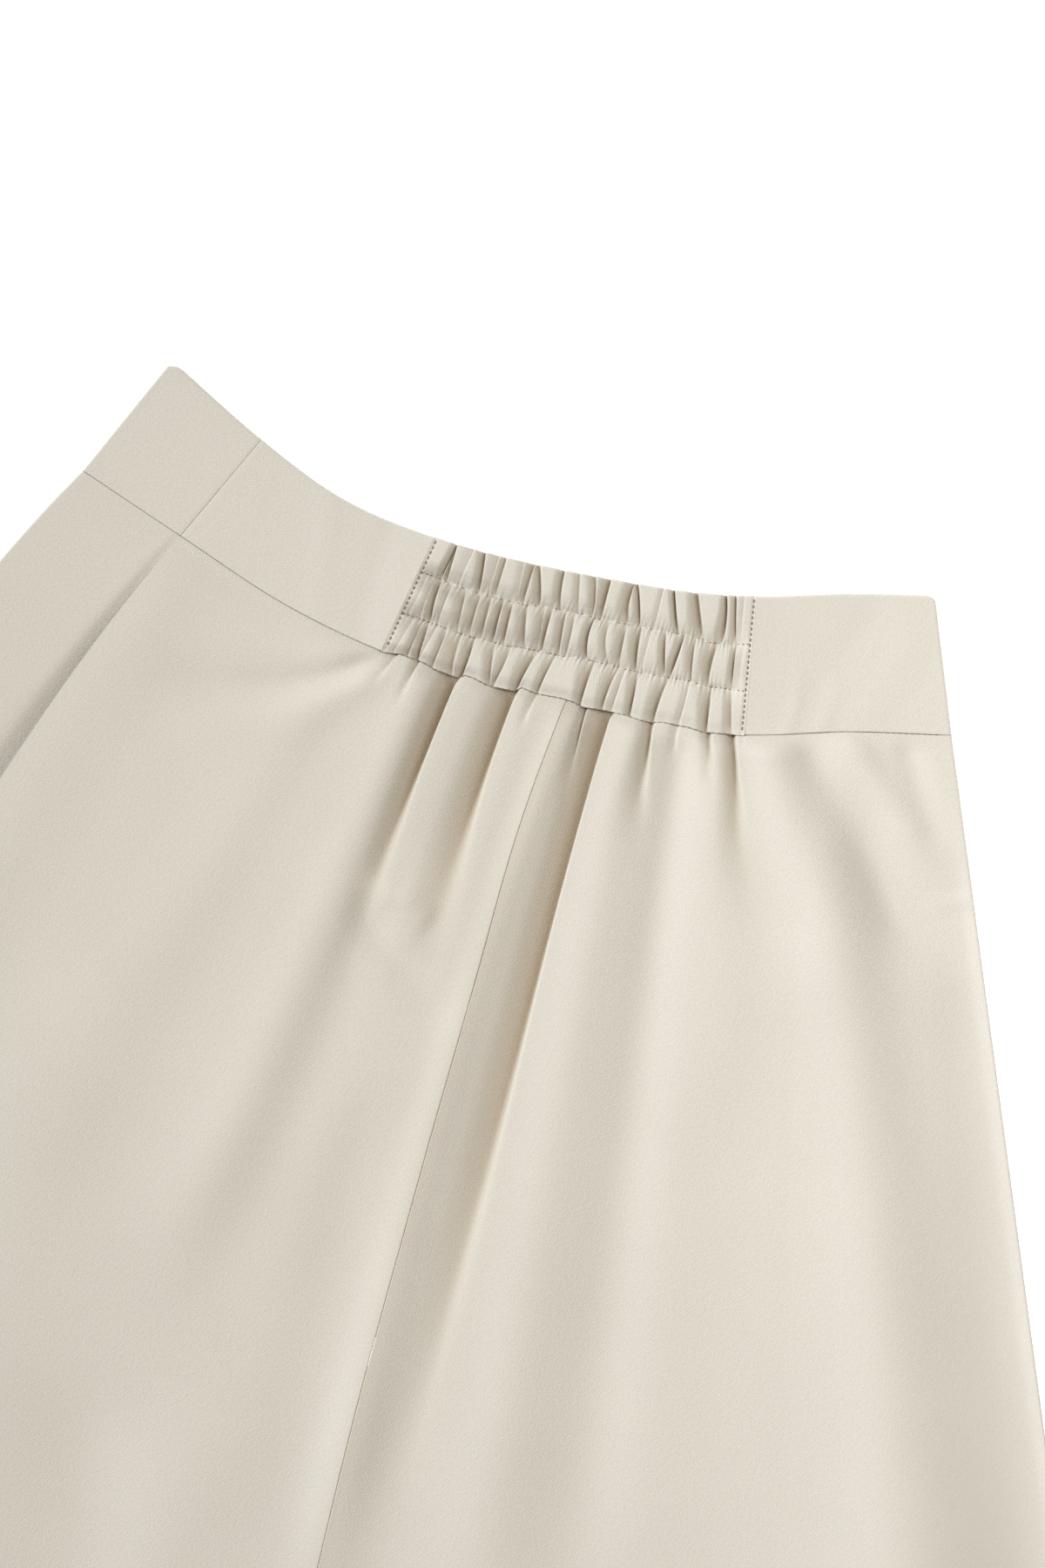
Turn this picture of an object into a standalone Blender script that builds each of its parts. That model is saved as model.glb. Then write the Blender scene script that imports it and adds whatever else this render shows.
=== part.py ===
"""Culottes lying flat with the back up, as eight cloth pieces.

Every piece is a wall of cloth: an open surface with a Solidify that thickens it inwards.
Across the garment a place is named by the rib it lies on. A rib is a line that starts at the top
of the waistband, crosses the band seam and fans out down the leg to the hem. Each rib carries a
point on the upper layer and, straight below it, one on the under layer, which rests on the
ground. The two layers turn into each other round the soft folds at both sides and, below the
crotch, at the inner edge of each leg.

Lengths in this file are millimetres, and become metres when a mesh is made. X runs to the
garment's right as it lies, Y towards its waist, Z up. Headings are degrees from straight down
the leg, positive to the right.
"""
from math import copysign, cos, radians

import bpy
import numpy as np

MM = 0.001

# Driving dimensions.
LEG_LENGTH = 590.0          # band seam to hem, along a rib
CROTCH_DEPTH = 248.0        # band seam to crotch, along the centre back
CROTCH_TURN = 30.0          # length below the crotch over which the legs' inner folds form
PARTING_START = 350.0       # from here down the inner folds draw apart
HEM_PARTING = 26.0          # to this much at the hem
BAND_HEIGHT = 52.0          # about, and a little more or less along each rib
LEG_WALL = 1.0
BAND_WALL = 1.5             # the band is two layers of cloth
LOFT = 4.5                  # height of the upper layer's face where it lies smooth
LOWEST = 2.7                # and the least height it sinks to, on the under layer
FOLD_RADIUS = 3.0           # how far the soft edge folds reach in plan
FOLD_CALM = 16.0            # the other folds die out this near to a soft edge fold
SEAM_GAP = 0.3              # clear between two pieces that are sewn together
FACING_GAP = 0.5            # clear between edges that stand face to face
RIB_SETTLE = 130.0          # length over which a rib turns from its first to its last heading

# One row for each rib, from the left fold to the right fold.
RIB_COLUMNS = ("seam_x", "seam_y", "top_x", "top_y", "first_heading", "last_heading")
RIBS = {
    "left_fold":     (-213.6, 33.5, -192.0, 85.5, -29.0, -12.0),
    "side_seam":     (-168.5, 19.5, -148.6, 65.3, -25.0, -11.1),
    "mid_left":      (-120.0,  5.0, -108.0, 51.3, -16.0,  -7.0),
    "elastic_left":  (-79.4,  -1.6,  -71.9, 47.6, -11.0,  -2.0),
    "centre_back":   (-3.4,    0.0,    4.0, 52.0,  -6.4,   4.0),
    "elastic_right": (68.0,    7.4,   57.0, 61.5,  12.0,  10.5),
    "mid_right":     (107.0,  20.2,   92.0, 73.0,  18.0,  17.0),
    "right_fold":    (147.1,  30.6,  125.0, 82.0,  24.1,  24.1),
}
LEFT_FOLD = RIBS["left_fold"][0]
SIDE_SEAM = RIBS["side_seam"][0]
ELASTIC_LEFT = RIBS["elastic_left"][0]
CENTRE_BACK = RIBS["centre_back"][0]
ELASTIC_RIGHT = RIBS["elastic_right"][0]
RIGHT_FOLD = RIBS["right_fold"][0]
CENTRE_FRONT = -75.0        # where the centre front seam meets the front band, underneath

# The elastic gathers the cloth into puckers. These are the low places between them, as shares
# of the elastic's width.
PUCKER_VALLEYS = (0.0, 0.06, 0.125, 0.2, 0.26, 0.33, 0.42, 0.526, 0.6, 0.676, 0.76, 0.853, 0.92, 1.0)
PUCKER_HEIGHT = 2.4
PUCKER_FADE = 16.0          # length over which the puckers die out below the band seam

# The largest folds of the upper layer, one row each. A fold runs from its start to its end,
# bulging to one side by bow. Its half width and its height go from the first to the last value,
# and a negative height is a trough.
FOLD_COLUMNS = ("start_x", "start_y", "end_x", "end_y", "bow",
                "first_width", "last_width", "first_height", "last_height")
FOLDS = {
    "trough_left_deep":     (-55, 0, -78, -200, 2, 7, 18, -1.9, -0.3),
    "ridge_left_outer":     (-68, -4, -100, -210, 4, 6, 18, 1.8, 0.5),
    "ridge_left_inner":     (-42, 0, -57, -150, 0, 5, 12, 1.9, 0.3),
    "trough_left_short":    (-28, -1, -42, -105, 0, 5, 11, -1.7, -0.2),
    "ridge_beside_centre":  (-16, 0, -24, -230, 3, 6, 9, 1.3, 0.6),
    "trough_right_deep":    (9, 0, 20, -420, 12, 6, 17, -1.9, -0.6),
    "ridge_right_first":    (19, 0, 48, -430, 6, 5, 15, 2.0, 0.8),
    "trough_right_second":  (29, 1, 62, -330, 0, 5, 14, -1.5, -0.3),
    "ridge_right_second":   (40, 2, 86, -260, 0, 5, 16, 1.6, 0.4),
    "trough_right_third":   (51, 4, 80, -66, 0, 5, 9, -1.5, -0.2),
    "ridge_right_third":    (72, 6, 112, -80, 0, 6, 14, 1.2, 0.4),
    "trough_to_right_fold": (86, 10, 330, -445, -34, 8, 20, -1.2, -1.4),
    "ridge_right_broad":    (74, -88, 236, -470, 0, 20, 34, 0.8, 1.9),
    "ridge_from_corner":    (-82, -6, -122, -26, 0, 6, 14, 1.8, 0.4),
    "ridge_left_broad":     (-118, -110, -176, -470, 0, 22, 32, 0.5, 1.9),
    "trough_left_hem":      (-104, -300, -118, -560, 0, 18, 26, -0.3, -1.2),
    "ridge_left_hem":       (-52, -330, -60, -590, 0, 16, 24, 0.2, 1.5),
    "trough_side_hem":      (-232, -250, -262, -540, 0, 18, 24, -0.3, -1.3),
    "trough_right_hem":     (150, -330, 190, -570, 0, 18, 26, -0.3, -1.3),
}
SIDE_DITCH = -1.6           # the side seam that shows lies in a ditch this deep
SIDE_DITCH_WIDTH = 7.0
CENTRE_LIFT = 1.3           # the left back's centre edge stands this much over the right one's
CENTRE_LIFT_WIDTH = 11.0

# How finely the surfaces are divided.
LEG_ROWS = 20
BAND_ROWS = 4
ELASTIC_ROWS = 4
FOLD_ANGLES = (70.0, 45.0, 20.0)    # steps round a soft fold, from the flat towards its edge
UPRIGHT_ANGLE = 20.0                # below this angle the cloth at a fold stands upright
EDGE_ANGLE = 7.0                    # where a piece that ends at a fold's edge stops

CLOTH = {"colour": (0.700, 0.662, 0.585, 1.0), "roughness": 0.85}
BAND_CLOTH = {"colour": (0.715, 0.680, 0.605, 1.0), "roughness": 0.85}


def smooth_between(at, knots, values):
    """Cubic curve through the values at the knots, level with its neighbours' slopes."""
    slopes = np.gradient(values, knots)
    left = np.clip(np.searchsorted(knots, at) - 1, 0, len(knots) - 2)
    span = knots[left + 1] - knots[left]
    t = (at - knots[left]) / span
    from_left = values[left] * (1 + 2 * t) * (1 - t) ** 2 + span * slopes[left] * t * (1 - t) ** 2
    from_right = values[left + 1] * t ** 2 * (3 - 2 * t) + span * slopes[left + 1] * t ** 2 * (t - 1)
    return from_left + from_right


def rib_value(column, rib):
    """The named column of RIBS, worked out smoothly at any place across the garment."""
    table = np.array(list(RIBS.values()), dtype=float)
    return smooth_between(np.asarray(rib, dtype=float), table[:, 0],
                          table[:, RIB_COLUMNS.index(column)])


def direction(heading):
    """Unit vector, in plan, of a heading in degrees."""
    return np.sin(np.radians(heading)), -np.cos(np.radians(heading))


def leg_plan(rib, down):
    """Plan place on a rib at a distance below the band seam.

    The rib is a straight line along its last heading plus what it gains while it settles from
    its first heading: settle * (1 - exp(-down / settle)) times the difference of the two.
    """
    first_x, first_y = direction(rib_value("first_heading", rib))
    last_x, last_y = direction(rib_value("last_heading", rib))
    settled = RIB_SETTLE * (1 - np.exp(-down / RIB_SETTLE))
    x = rib_value("seam_x", rib) + down * last_x + settled * (first_x - last_x)
    y = rib_value("seam_y", rib) + down * last_y + settled * (first_y - last_y)
    return x, y


def band_plan(rib, up):
    """Plan place on a rib in the band: up is 0 at the band seam and 1 at the top edge."""
    seam_x, seam_y = rib_value("seam_x", rib), rib_value("seam_y", rib)
    top_x, top_y = rib_value("top_x", rib), rib_value("top_y", rib)
    return seam_x + up * (top_x - seam_x), seam_y + up * (top_y - seam_y)


def beside(rib, inset, plan, along):
    """The rib that lies inset millimetres to the right of a rib, where plan gives the places."""
    near_x, near_y = plan(rib - 0.5, along)
    far_x, far_y = plan(rib + 0.5, along)
    return rib + inset / np.hypot(far_x - near_x, far_y - near_y)


def ease(t):
    """0 below 0, 1 above 1, and a smooth step between."""
    t = np.clip(t, 0, 1)
    return t * t * (3 - 2 * t)


def fold_relief(x, y):
    """Height that the folds add: each is a bell curve across its own bowed line, and its ends fade."""
    relief = np.zeros_like(x)
    for row in FOLDS.values():
        fold = dict(zip(FOLD_COLUMNS, row))
        run_x, run_y = fold["end_x"] - fold["start_x"], fold["end_y"] - fold["start_y"]
        length = np.hypot(run_x, run_y)
        from_x, from_y = x - fold["start_x"], y - fold["start_y"]
        along = (from_x * run_x + from_y * run_y) / length ** 2
        t = np.clip(along, 0, 1)
        aside = (from_y * run_x - from_x * run_y) / length - fold["bow"] * 4 * t * (1 - t)
        width = fold["first_width"] + t * (fold["last_width"] - fold["first_width"])
        height = fold["first_height"] + t * (fold["last_height"] - fold["first_height"])
        ends = ease(1 + along * length / 12) * ease((1.15 - along) / 0.3)
        relief += height * np.exp(-(aside / width) ** 2) * ends
    return relief


def settle_on_under_layer(height):
    """The height, rounded off so that it never falls below LOWEST: a smooth maximum."""
    over = height - LOWEST
    return LOWEST + (over + np.sqrt(over ** 2 + 0.3)) / 2


def pucker_relief(rib):
    """Height of the puckers over their mean: half waves between the low places."""
    share = (rib - ELASTIC_LEFT) / (ELASTIC_RIGHT - ELASTIC_LEFT)
    wave = np.interp(share, PUCKER_VALLEYS, np.arange(len(PUCKER_VALLEYS)))
    inside = ease(share / 0.04) * ease((1 - share) / 0.04)
    return PUCKER_HEIGHT * inside * (np.sin(np.pi * wave) ** 2 - 0.4)


def leg_height(rib, down, x, y, is_left_back):
    """Height of the upper layer's face on the legs."""
    def from_rib(line):
        rib_x, rib_y = leg_plan(np.full_like(down, line), down)
        return np.hypot(x - rib_x, y - rib_y)

    calm = ease(from_rib(LEFT_FOLD) / FOLD_CALM) * ease(from_rib(RIGHT_FOLD) / FOLD_CALM)
    relief = fold_relief(x, y) * calm * ease(down / 14 + 0.15)
    relief += pucker_relief(rib) * np.exp(-down / PUCKER_FADE)
    relief += SIDE_DITCH * np.exp(-(from_rib(SIDE_SEAM) / SIDE_DITCH_WIDTH) ** 2) * ease(down / 60)
    if is_left_back:
        lift = np.exp(-(from_rib(CENTRE_BACK) / CENTRE_LIFT_WIDTH) ** 2)
        relief += CENTRE_LIFT * lift * ease(down / 60)
    return settle_on_under_layer(LOFT + relief)


# A column of a surface holds COLUMN_VALUES: the rib it follows, how far to the right of that rib
# it lies, and its angle round the flat tube of cloth, 90 on the upper layer and -90 on the under
# one. The last two are what it has above the crotch, where the legs are one.
COLUMN_VALUES = ("rib", "inset", "angle", "inset_above", "angle_above")


def upper(start, stop, steps, start_inset=0.0, stop_inset=0.0, angle=90.0):
    """Columns over the upper layer, evenly from one rib to another."""
    ribs = np.linspace(start, stop, steps + 1)
    insets = np.linspace(start_inset, stop_inset, steps + 1)
    return [(rib, inset, angle, inset, angle) for rib, inset in zip(ribs, insets)]


def under(start, stop, steps, start_inset=0.0, stop_inset=0.0):
    """The same columns on the under layer."""
    return upper(start, stop, steps, start_inset, stop_inset, angle=-90.0)


def round_fold(rib, side, angles):
    """Columns round a soft fold along a rib. Side is 1 where the cloth lies to the right of it.

    The fold is an ellipse that stands upright near its edge.
    """
    columns = []
    for angle in angles:
        inset = side * FOLD_RADIUS * max(0.0, 1 - cos(radians(angle)) / cos(radians(UPRIGHT_ANGLE)))
        columns.append((rib, inset, angle, inset, angle))
    return columns


def leg_edge(side, angles):
    """Columns at a leg's inner edge: a soft fold below the crotch, and flat up to a seam above it."""
    columns = []
    for rib, inset, angle, _, _ in round_fold(CENTRE_BACK, side, angles):
        clear = side * FACING_GAP / 2
        flat_inset = side * FOLD_RADIUS * abs(angle) / 90
        columns.append((rib, clear + inset, angle, clear + flat_inset, copysign(90.0, angle)))
    return columns


def grid_columns(columns, rows):
    """Arrays of the columns' values by name, one line for each row of the surface."""
    shape = (len(rows), len(columns))
    values = zip(COLUMN_VALUES, zip(*columns))
    return {name: np.broadcast_to(np.array(value, dtype=float), shape) for name, value in values}


def layer_height(top, angle):
    """Height on a flat tube of cloth that is top high: 90 degrees is its upper face, -90 its under one."""
    return top / 2 * (1 + np.sin(np.radians(angle)))


def leg_surface(columns, is_left_back=False):
    """Points of a leg piece, a row at each distance below the band seam.

    Underneath, the ribs of the inner edge swing from the centre front, at the band, to the
    centre back, at the crotch.
    """
    steps = np.linspace(0, 1, LEG_ROWS + 1)
    rows = SEAM_GAP / 2 + (LEG_LENGTH - SEAM_GAP / 2) * (0.32 * steps + 0.68 * steps ** 2)
    grid = grid_columns(columns, rows)
    rib = grid["rib"]
    down = np.broadcast_to(rows[:, None], rib.shape)
    parted = ease((down - CROTCH_DEPTH) / CROTCH_TURN)
    inset = grid["inset_above"] + (grid["inset"] - grid["inset_above"]) * parted
    angle = grid["angle_above"] + (grid["angle"] - grid["angle_above"]) * parted
    outer = LEFT_FOLD if rib.mean() < CENTRE_BACK else RIGHT_FOLD
    inward = np.clip((rib - outer) / (CENTRE_BACK - outer), 0, 1)
    parting = HEM_PARTING / 2 * np.clip((down - PARTING_START) / (LEG_LENGTH - PARTING_START), 0, 1) ** 2
    inset = inset + copysign(1.0, outer) * inward * parting
    swing = inward * (1 - ease(down / CROTCH_DEPTH)) * (CENTRE_FRONT - CENTRE_BACK)
    rib = rib + np.where(grid["angle_above"] == -90, swing, 0.0)
    rib = beside(rib, inset, leg_plan, down)
    x, y = leg_plan(rib, down)
    top = leg_height(rib, down, x, y, is_left_back)
    return np.stack([x, y, layer_height(top, angle)], axis=-1)


def band_surface(columns, row_count):
    """Points of a band piece, from its top edge down to the band seam."""
    rows = np.linspace(1, SEAM_GAP / 2 / BAND_HEIGHT, row_count + 1)
    grid = grid_columns(columns, rows)
    up = np.broadcast_to(rows[:, None], grid["rib"].shape)
    rib = beside(grid["rib"], grid["inset"], band_plan, up)
    x, y = band_plan(rib, up)
    top = LOFT + pucker_relief(rib)
    return np.stack([x, y, layer_height(top, grid["angle"])], axis=-1)


def cloth_piece(name, points, wall, cloth, collection, frame):
    """Mesh of one piece: the grid of points is its face, and Solidify thickens it inwards."""
    row_count, column_count = points.shape[:2]
    index = np.arange(row_count * column_count).reshape(row_count, column_count)
    corners = [index[:-1, :-1], index[:-1, 1:], index[1:, 1:], index[1:, :-1]]
    faces = np.stack(corners, axis=-1).reshape(-1, 4)
    mesh = bpy.data.meshes.new(name)
    mesh.from_pydata((points.reshape(-1, 3) * MM).tolist(), [], faces.tolist())
    mesh.update()
    mesh.shade_smooth()
    piece = bpy.data.objects.new(name, mesh)
    collection.objects.link(piece)
    piece.parent = frame
    thick = piece.modifiers.new("wall", "SOLIDIFY")
    thick.thickness = wall * MM
    thick.offset = -1.0
    material = bpy.data.materials.new(name + "_cloth")
    material.use_nodes = True
    shader = material.node_tree.nodes["Principled BSDF"]
    shader.inputs["Base Color"].default_value = cloth["colour"]
    shader.inputs["Roughness"].default_value = cloth["roughness"]
    shader.inputs["Metallic"].default_value = 0.0
    mesh.materials.append(material)
    return piece


# The pieces, each with its columns in the same direction round the garment: over the upper layer
# from the right fold to the left one, and back underneath.
UPPER_EDGE = (EDGE_ANGLE,) + FOLD_ANGLES[::-1]
UNDER_EDGE = tuple(-angle for angle in UPPER_EDGE)
WHOLE_FOLD = FOLD_ANGLES + (0.0,) + tuple(-angle for angle in FOLD_ANGLES[::-1])
REACH = FACING_GAP / 2 + FOLD_RADIUS        # where a leg's inner edge begins to turn
HALF_GAP = SEAM_GAP / 2


def back_leg_left():
    """From the centre back over the upper layer to the side seam that shows."""
    face = upper(CENTRE_BACK, SIDE_SEAM, 22, -REACH, HALF_GAP)
    return leg_surface(leg_edge(-1, UPPER_EDGE) + face, is_left_back=True)


def back_leg_right():
    """From the right fold over the upper layer to the centre back."""
    face = upper(RIGHT_FOLD, CENTRE_BACK, 22, -FOLD_RADIUS, REACH)
    return leg_surface(round_fold(RIGHT_FOLD, -1, UPPER_EDGE) + face + leg_edge(1, UPPER_EDGE[::-1]))


def front_leg_left():
    """From the side seam round the left fold and under to the centre front."""
    face = upper(SIDE_SEAM, LEFT_FOLD, 3, -HALF_GAP, FOLD_RADIUS)
    below = under(LEFT_FOLD, CENTRE_BACK, 6, FOLD_RADIUS, -REACH)
    return leg_surface(face + round_fold(LEFT_FOLD, 1, WHOLE_FOLD) + below + leg_edge(-1, UNDER_EDGE[::-1]))


def front_leg_right():
    """From the centre front, under, to the right fold."""
    below = under(CENTRE_BACK, RIGHT_FOLD, 6, REACH, -FOLD_RADIUS)
    return leg_surface(leg_edge(1, UNDER_EDGE) + below + round_fold(RIGHT_FOLD, -1, UNDER_EDGE[::-1]))


def front_waistband():
    """From the side seam round the left fold and under to the right fold."""
    face = upper(SIDE_SEAM, LEFT_FOLD, 3, -HALF_GAP, FOLD_RADIUS)
    left = under(LEFT_FOLD, CENTRE_FRONT, 6, FOLD_RADIUS, -REACH)
    right = under(CENTRE_FRONT, RIGHT_FOLD, 6, REACH, -FOLD_RADIUS)
    folds = round_fold(LEFT_FOLD, 1, WHOLE_FOLD), round_fold(RIGHT_FOLD, -1, UNDER_EDGE[::-1])
    return band_surface(face + folds[0] + left + right + folds[1], BAND_ROWS)


def back_waistband_right():
    """From the right fold over the upper layer to the elastic."""
    face = upper(RIGHT_FOLD, ELASTIC_RIGHT, 8, -FOLD_RADIUS, HALF_GAP)
    return band_surface(round_fold(RIGHT_FOLD, -1, UPPER_EDGE) + face, BAND_ROWS)


def back_waistband_elastic():
    """The gathered middle of the back band."""
    return band_surface(upper(ELASTIC_RIGHT, ELASTIC_LEFT, 48, -HALF_GAP, HALF_GAP), ELASTIC_ROWS)


def back_waistband_left():
    """From the elastic to the side seam that shows."""
    return band_surface(upper(ELASTIC_LEFT, SIDE_SEAM, 8, -HALF_GAP, HALF_GAP), BAND_ROWS)


def build():
    """Make every piece, centred in plan over the origin and resting on the ground."""
    for old in list(bpy.data.objects):
        bpy.data.objects.remove(old)
    collection = bpy.data.collections.new("culottes")
    bpy.context.scene.collection.children.link(collection)
    pieces = {
        "front_leg_left": (front_leg_left(), LEG_WALL, CLOTH),
        "front_leg_right": (front_leg_right(), LEG_WALL, CLOTH),
        "back_leg_left": (back_leg_left(), LEG_WALL, CLOTH),
        "back_leg_right": (back_leg_right(), LEG_WALL, CLOTH),
        "front_waistband": (front_waistband(), BAND_WALL, BAND_CLOTH),
        "back_waistband_left": (back_waistband_left(), BAND_WALL, BAND_CLOTH),
        "back_waistband_elastic": (back_waistband_elastic(), BAND_WALL, BAND_CLOTH),
        "back_waistband_right": (back_waistband_right(), BAND_WALL, BAND_CLOTH),
    }
    plan = np.concatenate([points[..., :2].reshape(-1, 2) for points, wall, cloth in pieces.values()])
    middle = (plan.min(axis=0) + plan.max(axis=0)) / 2 * MM
    frame = bpy.data.objects.new("culottes_frame", None)
    frame.location = (-middle[0], -middle[1], 0.0)
    collection.objects.link(frame)
    for name, (points, wall, cloth) in pieces.items():
        cloth_piece(name, points, wall, cloth, collection, frame)
    bpy.context.view_layer.update()


build()
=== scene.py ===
"""Culottes lying flat with the back up: the finished cloth and the stitching of every piece.

Sizes are millimetres on the garment, with X to its right as it lies and Y towards its waist, and
they become metres in the model's frame when a mesh is made. Across the garment a place is named
by its rib, a line that crosses the waistband and fans out down the leg to the hem. A rib's number
is the X of the place where it crosses the seam under the waistband.
"""
from math import cos, pi, radians, sin

import bmesh
import bpy
import numpy as np
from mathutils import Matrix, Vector


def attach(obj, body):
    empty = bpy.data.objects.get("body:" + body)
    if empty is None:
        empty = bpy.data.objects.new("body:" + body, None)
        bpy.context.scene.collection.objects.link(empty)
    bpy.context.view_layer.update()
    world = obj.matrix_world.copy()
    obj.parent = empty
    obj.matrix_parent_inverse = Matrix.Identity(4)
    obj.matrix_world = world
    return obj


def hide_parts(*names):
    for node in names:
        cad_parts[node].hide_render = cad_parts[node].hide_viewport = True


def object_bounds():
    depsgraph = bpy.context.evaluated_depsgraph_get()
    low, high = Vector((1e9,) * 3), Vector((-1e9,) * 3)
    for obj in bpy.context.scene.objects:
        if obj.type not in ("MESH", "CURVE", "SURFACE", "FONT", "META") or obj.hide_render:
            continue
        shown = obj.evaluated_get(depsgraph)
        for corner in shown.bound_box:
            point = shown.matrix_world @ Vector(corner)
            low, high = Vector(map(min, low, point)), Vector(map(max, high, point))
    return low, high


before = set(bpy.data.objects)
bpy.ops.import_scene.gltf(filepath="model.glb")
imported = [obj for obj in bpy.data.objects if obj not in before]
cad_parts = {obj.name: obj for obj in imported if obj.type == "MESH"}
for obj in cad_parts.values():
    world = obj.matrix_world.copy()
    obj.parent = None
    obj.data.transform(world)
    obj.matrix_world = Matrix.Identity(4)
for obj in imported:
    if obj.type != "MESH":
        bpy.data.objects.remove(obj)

cad_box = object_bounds()


# ==============================================================================================
# The two back legs. Each is one panel of cream polyester crepe, cut A-line, sewn to the other at
# the centre back and gathered into the waistband, so that folds fan out from the gathers.
# ==============================================================================================
# Each rib's place at the band seam and at the band's top, and its headings right below the seam
# and far down the leg, in degrees from straight down.
RIB_COLUMNS = ("seam_x", "seam_y", "top_x", "top_y", "first_heading", "last_heading")
RIBS = {
    "left_fold":     (-213.6, 33.5, -192.0, 85.5, -29.0, -12.0),
    "side_seam":     (-168.5, 19.5, -148.6, 65.3, -25.0, -11.1),
    "mid_left":      (-120.0,  5.0, -108.0, 51.3, -16.0,  -7.0),
    "elastic_left":  (-79.4,  -1.6,  -71.9, 47.6, -11.0,  -2.0),
    "centre_back":   (-3.4,    0.0,    4.0, 52.0,  -6.4,   4.0),
    "elastic_right": (68.0,    7.4,   57.0, 61.5,  12.0,  10.5),
    "mid_right":     (107.0,  20.2,   92.0, 73.0,  18.0,  17.0),
    "right_fold":    (147.1,  30.6,  125.0, 82.0,  24.1,  24.1),
}
LEFT_FOLD = RIBS["left_fold"][0]
SIDE_SEAM = RIBS["side_seam"][0]
ELASTIC_LEFT = RIBS["elastic_left"][0]
CENTRE_BACK = RIBS["centre_back"][0]
ELASTIC_RIGHT = RIBS["elastic_right"][0]
RIGHT_FOLD = RIBS["right_fold"][0]
CENTRE_FRONT = -75.0        # rib of the under layer's middle at the band

LEG_LENGTH = 590.0          # below the band seam, as are the three places after it
CROTCH_DEPTH = 248.0
MEET_END = 372.0            # below the crotch the back legs lie edge to edge down to here
PARTING_START = 350.0       # the legs draw apart from here down
HEM_PARTING = 26.0          # and are this far apart at the hem
CROTCH_TURN = 30.0          # the joined edges turn into soft folds over this much
RIB_SETTLE = 130.0          # how far down a rib takes up its last heading
CREPE_THICKNESS = 0.9
FOLD_RADIUS = 1.2
EDGE_TURN = 0.35            # radius of a sewn edge, where the cloth turns down into its seam
LEG_TURN = 0.5              # and of the legs' top edges,
CENTRE_TURN = 0.55          # and of the two edges at the centre back
TURN_STEPS = 5              # rows or columns round such an edge
SEAM_GAP = 0.05             # between the cloth on either side of a seam
SEAM_TUCK = 0.25            # the legs run this far under the band
# Painted shade: the right panel's colour is darkened beside the centre back, by this much and over this
# reach.
SEAM_PAINTED_SHADE = 0.36           # how dim the right panel is beside the centre back
SHADE_REACH = 2.2           # and how far from it that dies out

LOFT = 5.0                  # height of the upper layer's face where it lies calm
LOWEST = 1.9                # it never sinks below this, as the under layer lies there
ROUNDING = 0.1              # how soft the turn into that is, in square millimetres
GATHER_LOFT = 3.8           # how much more it stands under the gathers
LOFT_REACH = 220.0          # how far down the leg that dies out
LOFT_BESIDE = 60.0          # it starts this many ribs beside the elastic
LOFT_SLOPE = 90.0           # and is full this many further in
# How relief grows with the distance from an edge, by ease(distance / reach + start): the creases
# from the soft fold at the right and from the band seam, and the loft from the band seam.
FOLD_CALM = (12.0, 0.45)
SEAM_CALM = (12.0, 0.2)
LOFT_RISE = (9.0, 0.3)

# The gathers are the hollows between the folds below the elastic. Edges are ribs at the seam and
# where the hollow ends, reach millimetres further down, and bow moves its middle to the right.
# The cloth slopes down from a hollow's left edge, early where power is below 1, and dives under
# the fold at its right edge, which lies over it by lap. That edge is end_edge softer at the end.
GATHER_COLUMNS = ("left", "right", "end_left", "end_right", "bow", "reach",
                  "depth", "end_depth", "power", "soft", "lap", "end_edge")
GATHERS = {
    "left_corner":     (-78.0, -72.6, -83.0, -76.0, 0.0, 14, 2.0, 0.2, 1.3, 1.2, 0.4, 3.0),
    "left_tuck":       (-67.4, -63.4, -67.4, -64.0, 0.0, 18, 2.4, 0.3, 1.3, 1.0, 0.5, 3.0),
    "left_deep":       (-55.4, -46.6, -52.6, -44.0, 0.5, 106, 5.8, 1.4, 0.8, 3.0, 0.9, 4.5),
    "left_second":     (-34.4, -22.8, -31.0, -17.0, 0.0, 98, 6.0, 2.2, 1.0, 3.0, 0.9, 4.5),
    "centre_tuck":     (-19.0, -14.9, -18.4, -14.9, 0.0, 16, 1.8, 0.2, 1.3, 1.0, 0.4, 3.0),
    "centre_second":   (1.6, 5.4, 4.0, 8.6, 0.0, 34, 2.8, 0.6, 1.3, 1.2, 0.5, 2.4),
    "right_deep":      (6.8, 15.8, 3.0, 11.0, 3.0, 330, 6.0, 0.4, 0.6, 2.6, 1.0, 5.0),
    "right_second":    (27.0, 32.2, 23.0, 36.6, 0.0, 50, 4.0, 0.8, 1.3, 2.2, 0.3, 8.0),
    "right_tuck":      (37.6, 42.0, 38.6, 43.0, 0.0, 13, 1.6, 0.1, 1.3, 1.0, 0.4, 3.0),
    "right_third":     (50.6, 55.0, 53.0, 58.0, 0.0, 24, 3.4, 0.5, 1.2, 1.6, 0.3, 6.0),
    "right_fourth":    (59.0, 64.5, 61.0, 73.0, 0.0, 62, 4.2, 1.6, 1.2, 3.0, 0.3, 9.0),
}
FOLD_EDGE = 0.22            # how abruptly a gather's fold ends
LAP_REACH = 8.0             # how far from its edge its shift dies out
LAP_START = 3.0             # and how far below the seam it is full
# Painted shade: a gather's hollow is darkened in colour, fully at this depth.
DEEP = 5.5                  # a hollow this deep is as dim as any
GATHER_END = 1.4            # a gather has gone at this many times its reach, after it
GATHER_FADE = 0.5           # faded over this many

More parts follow.
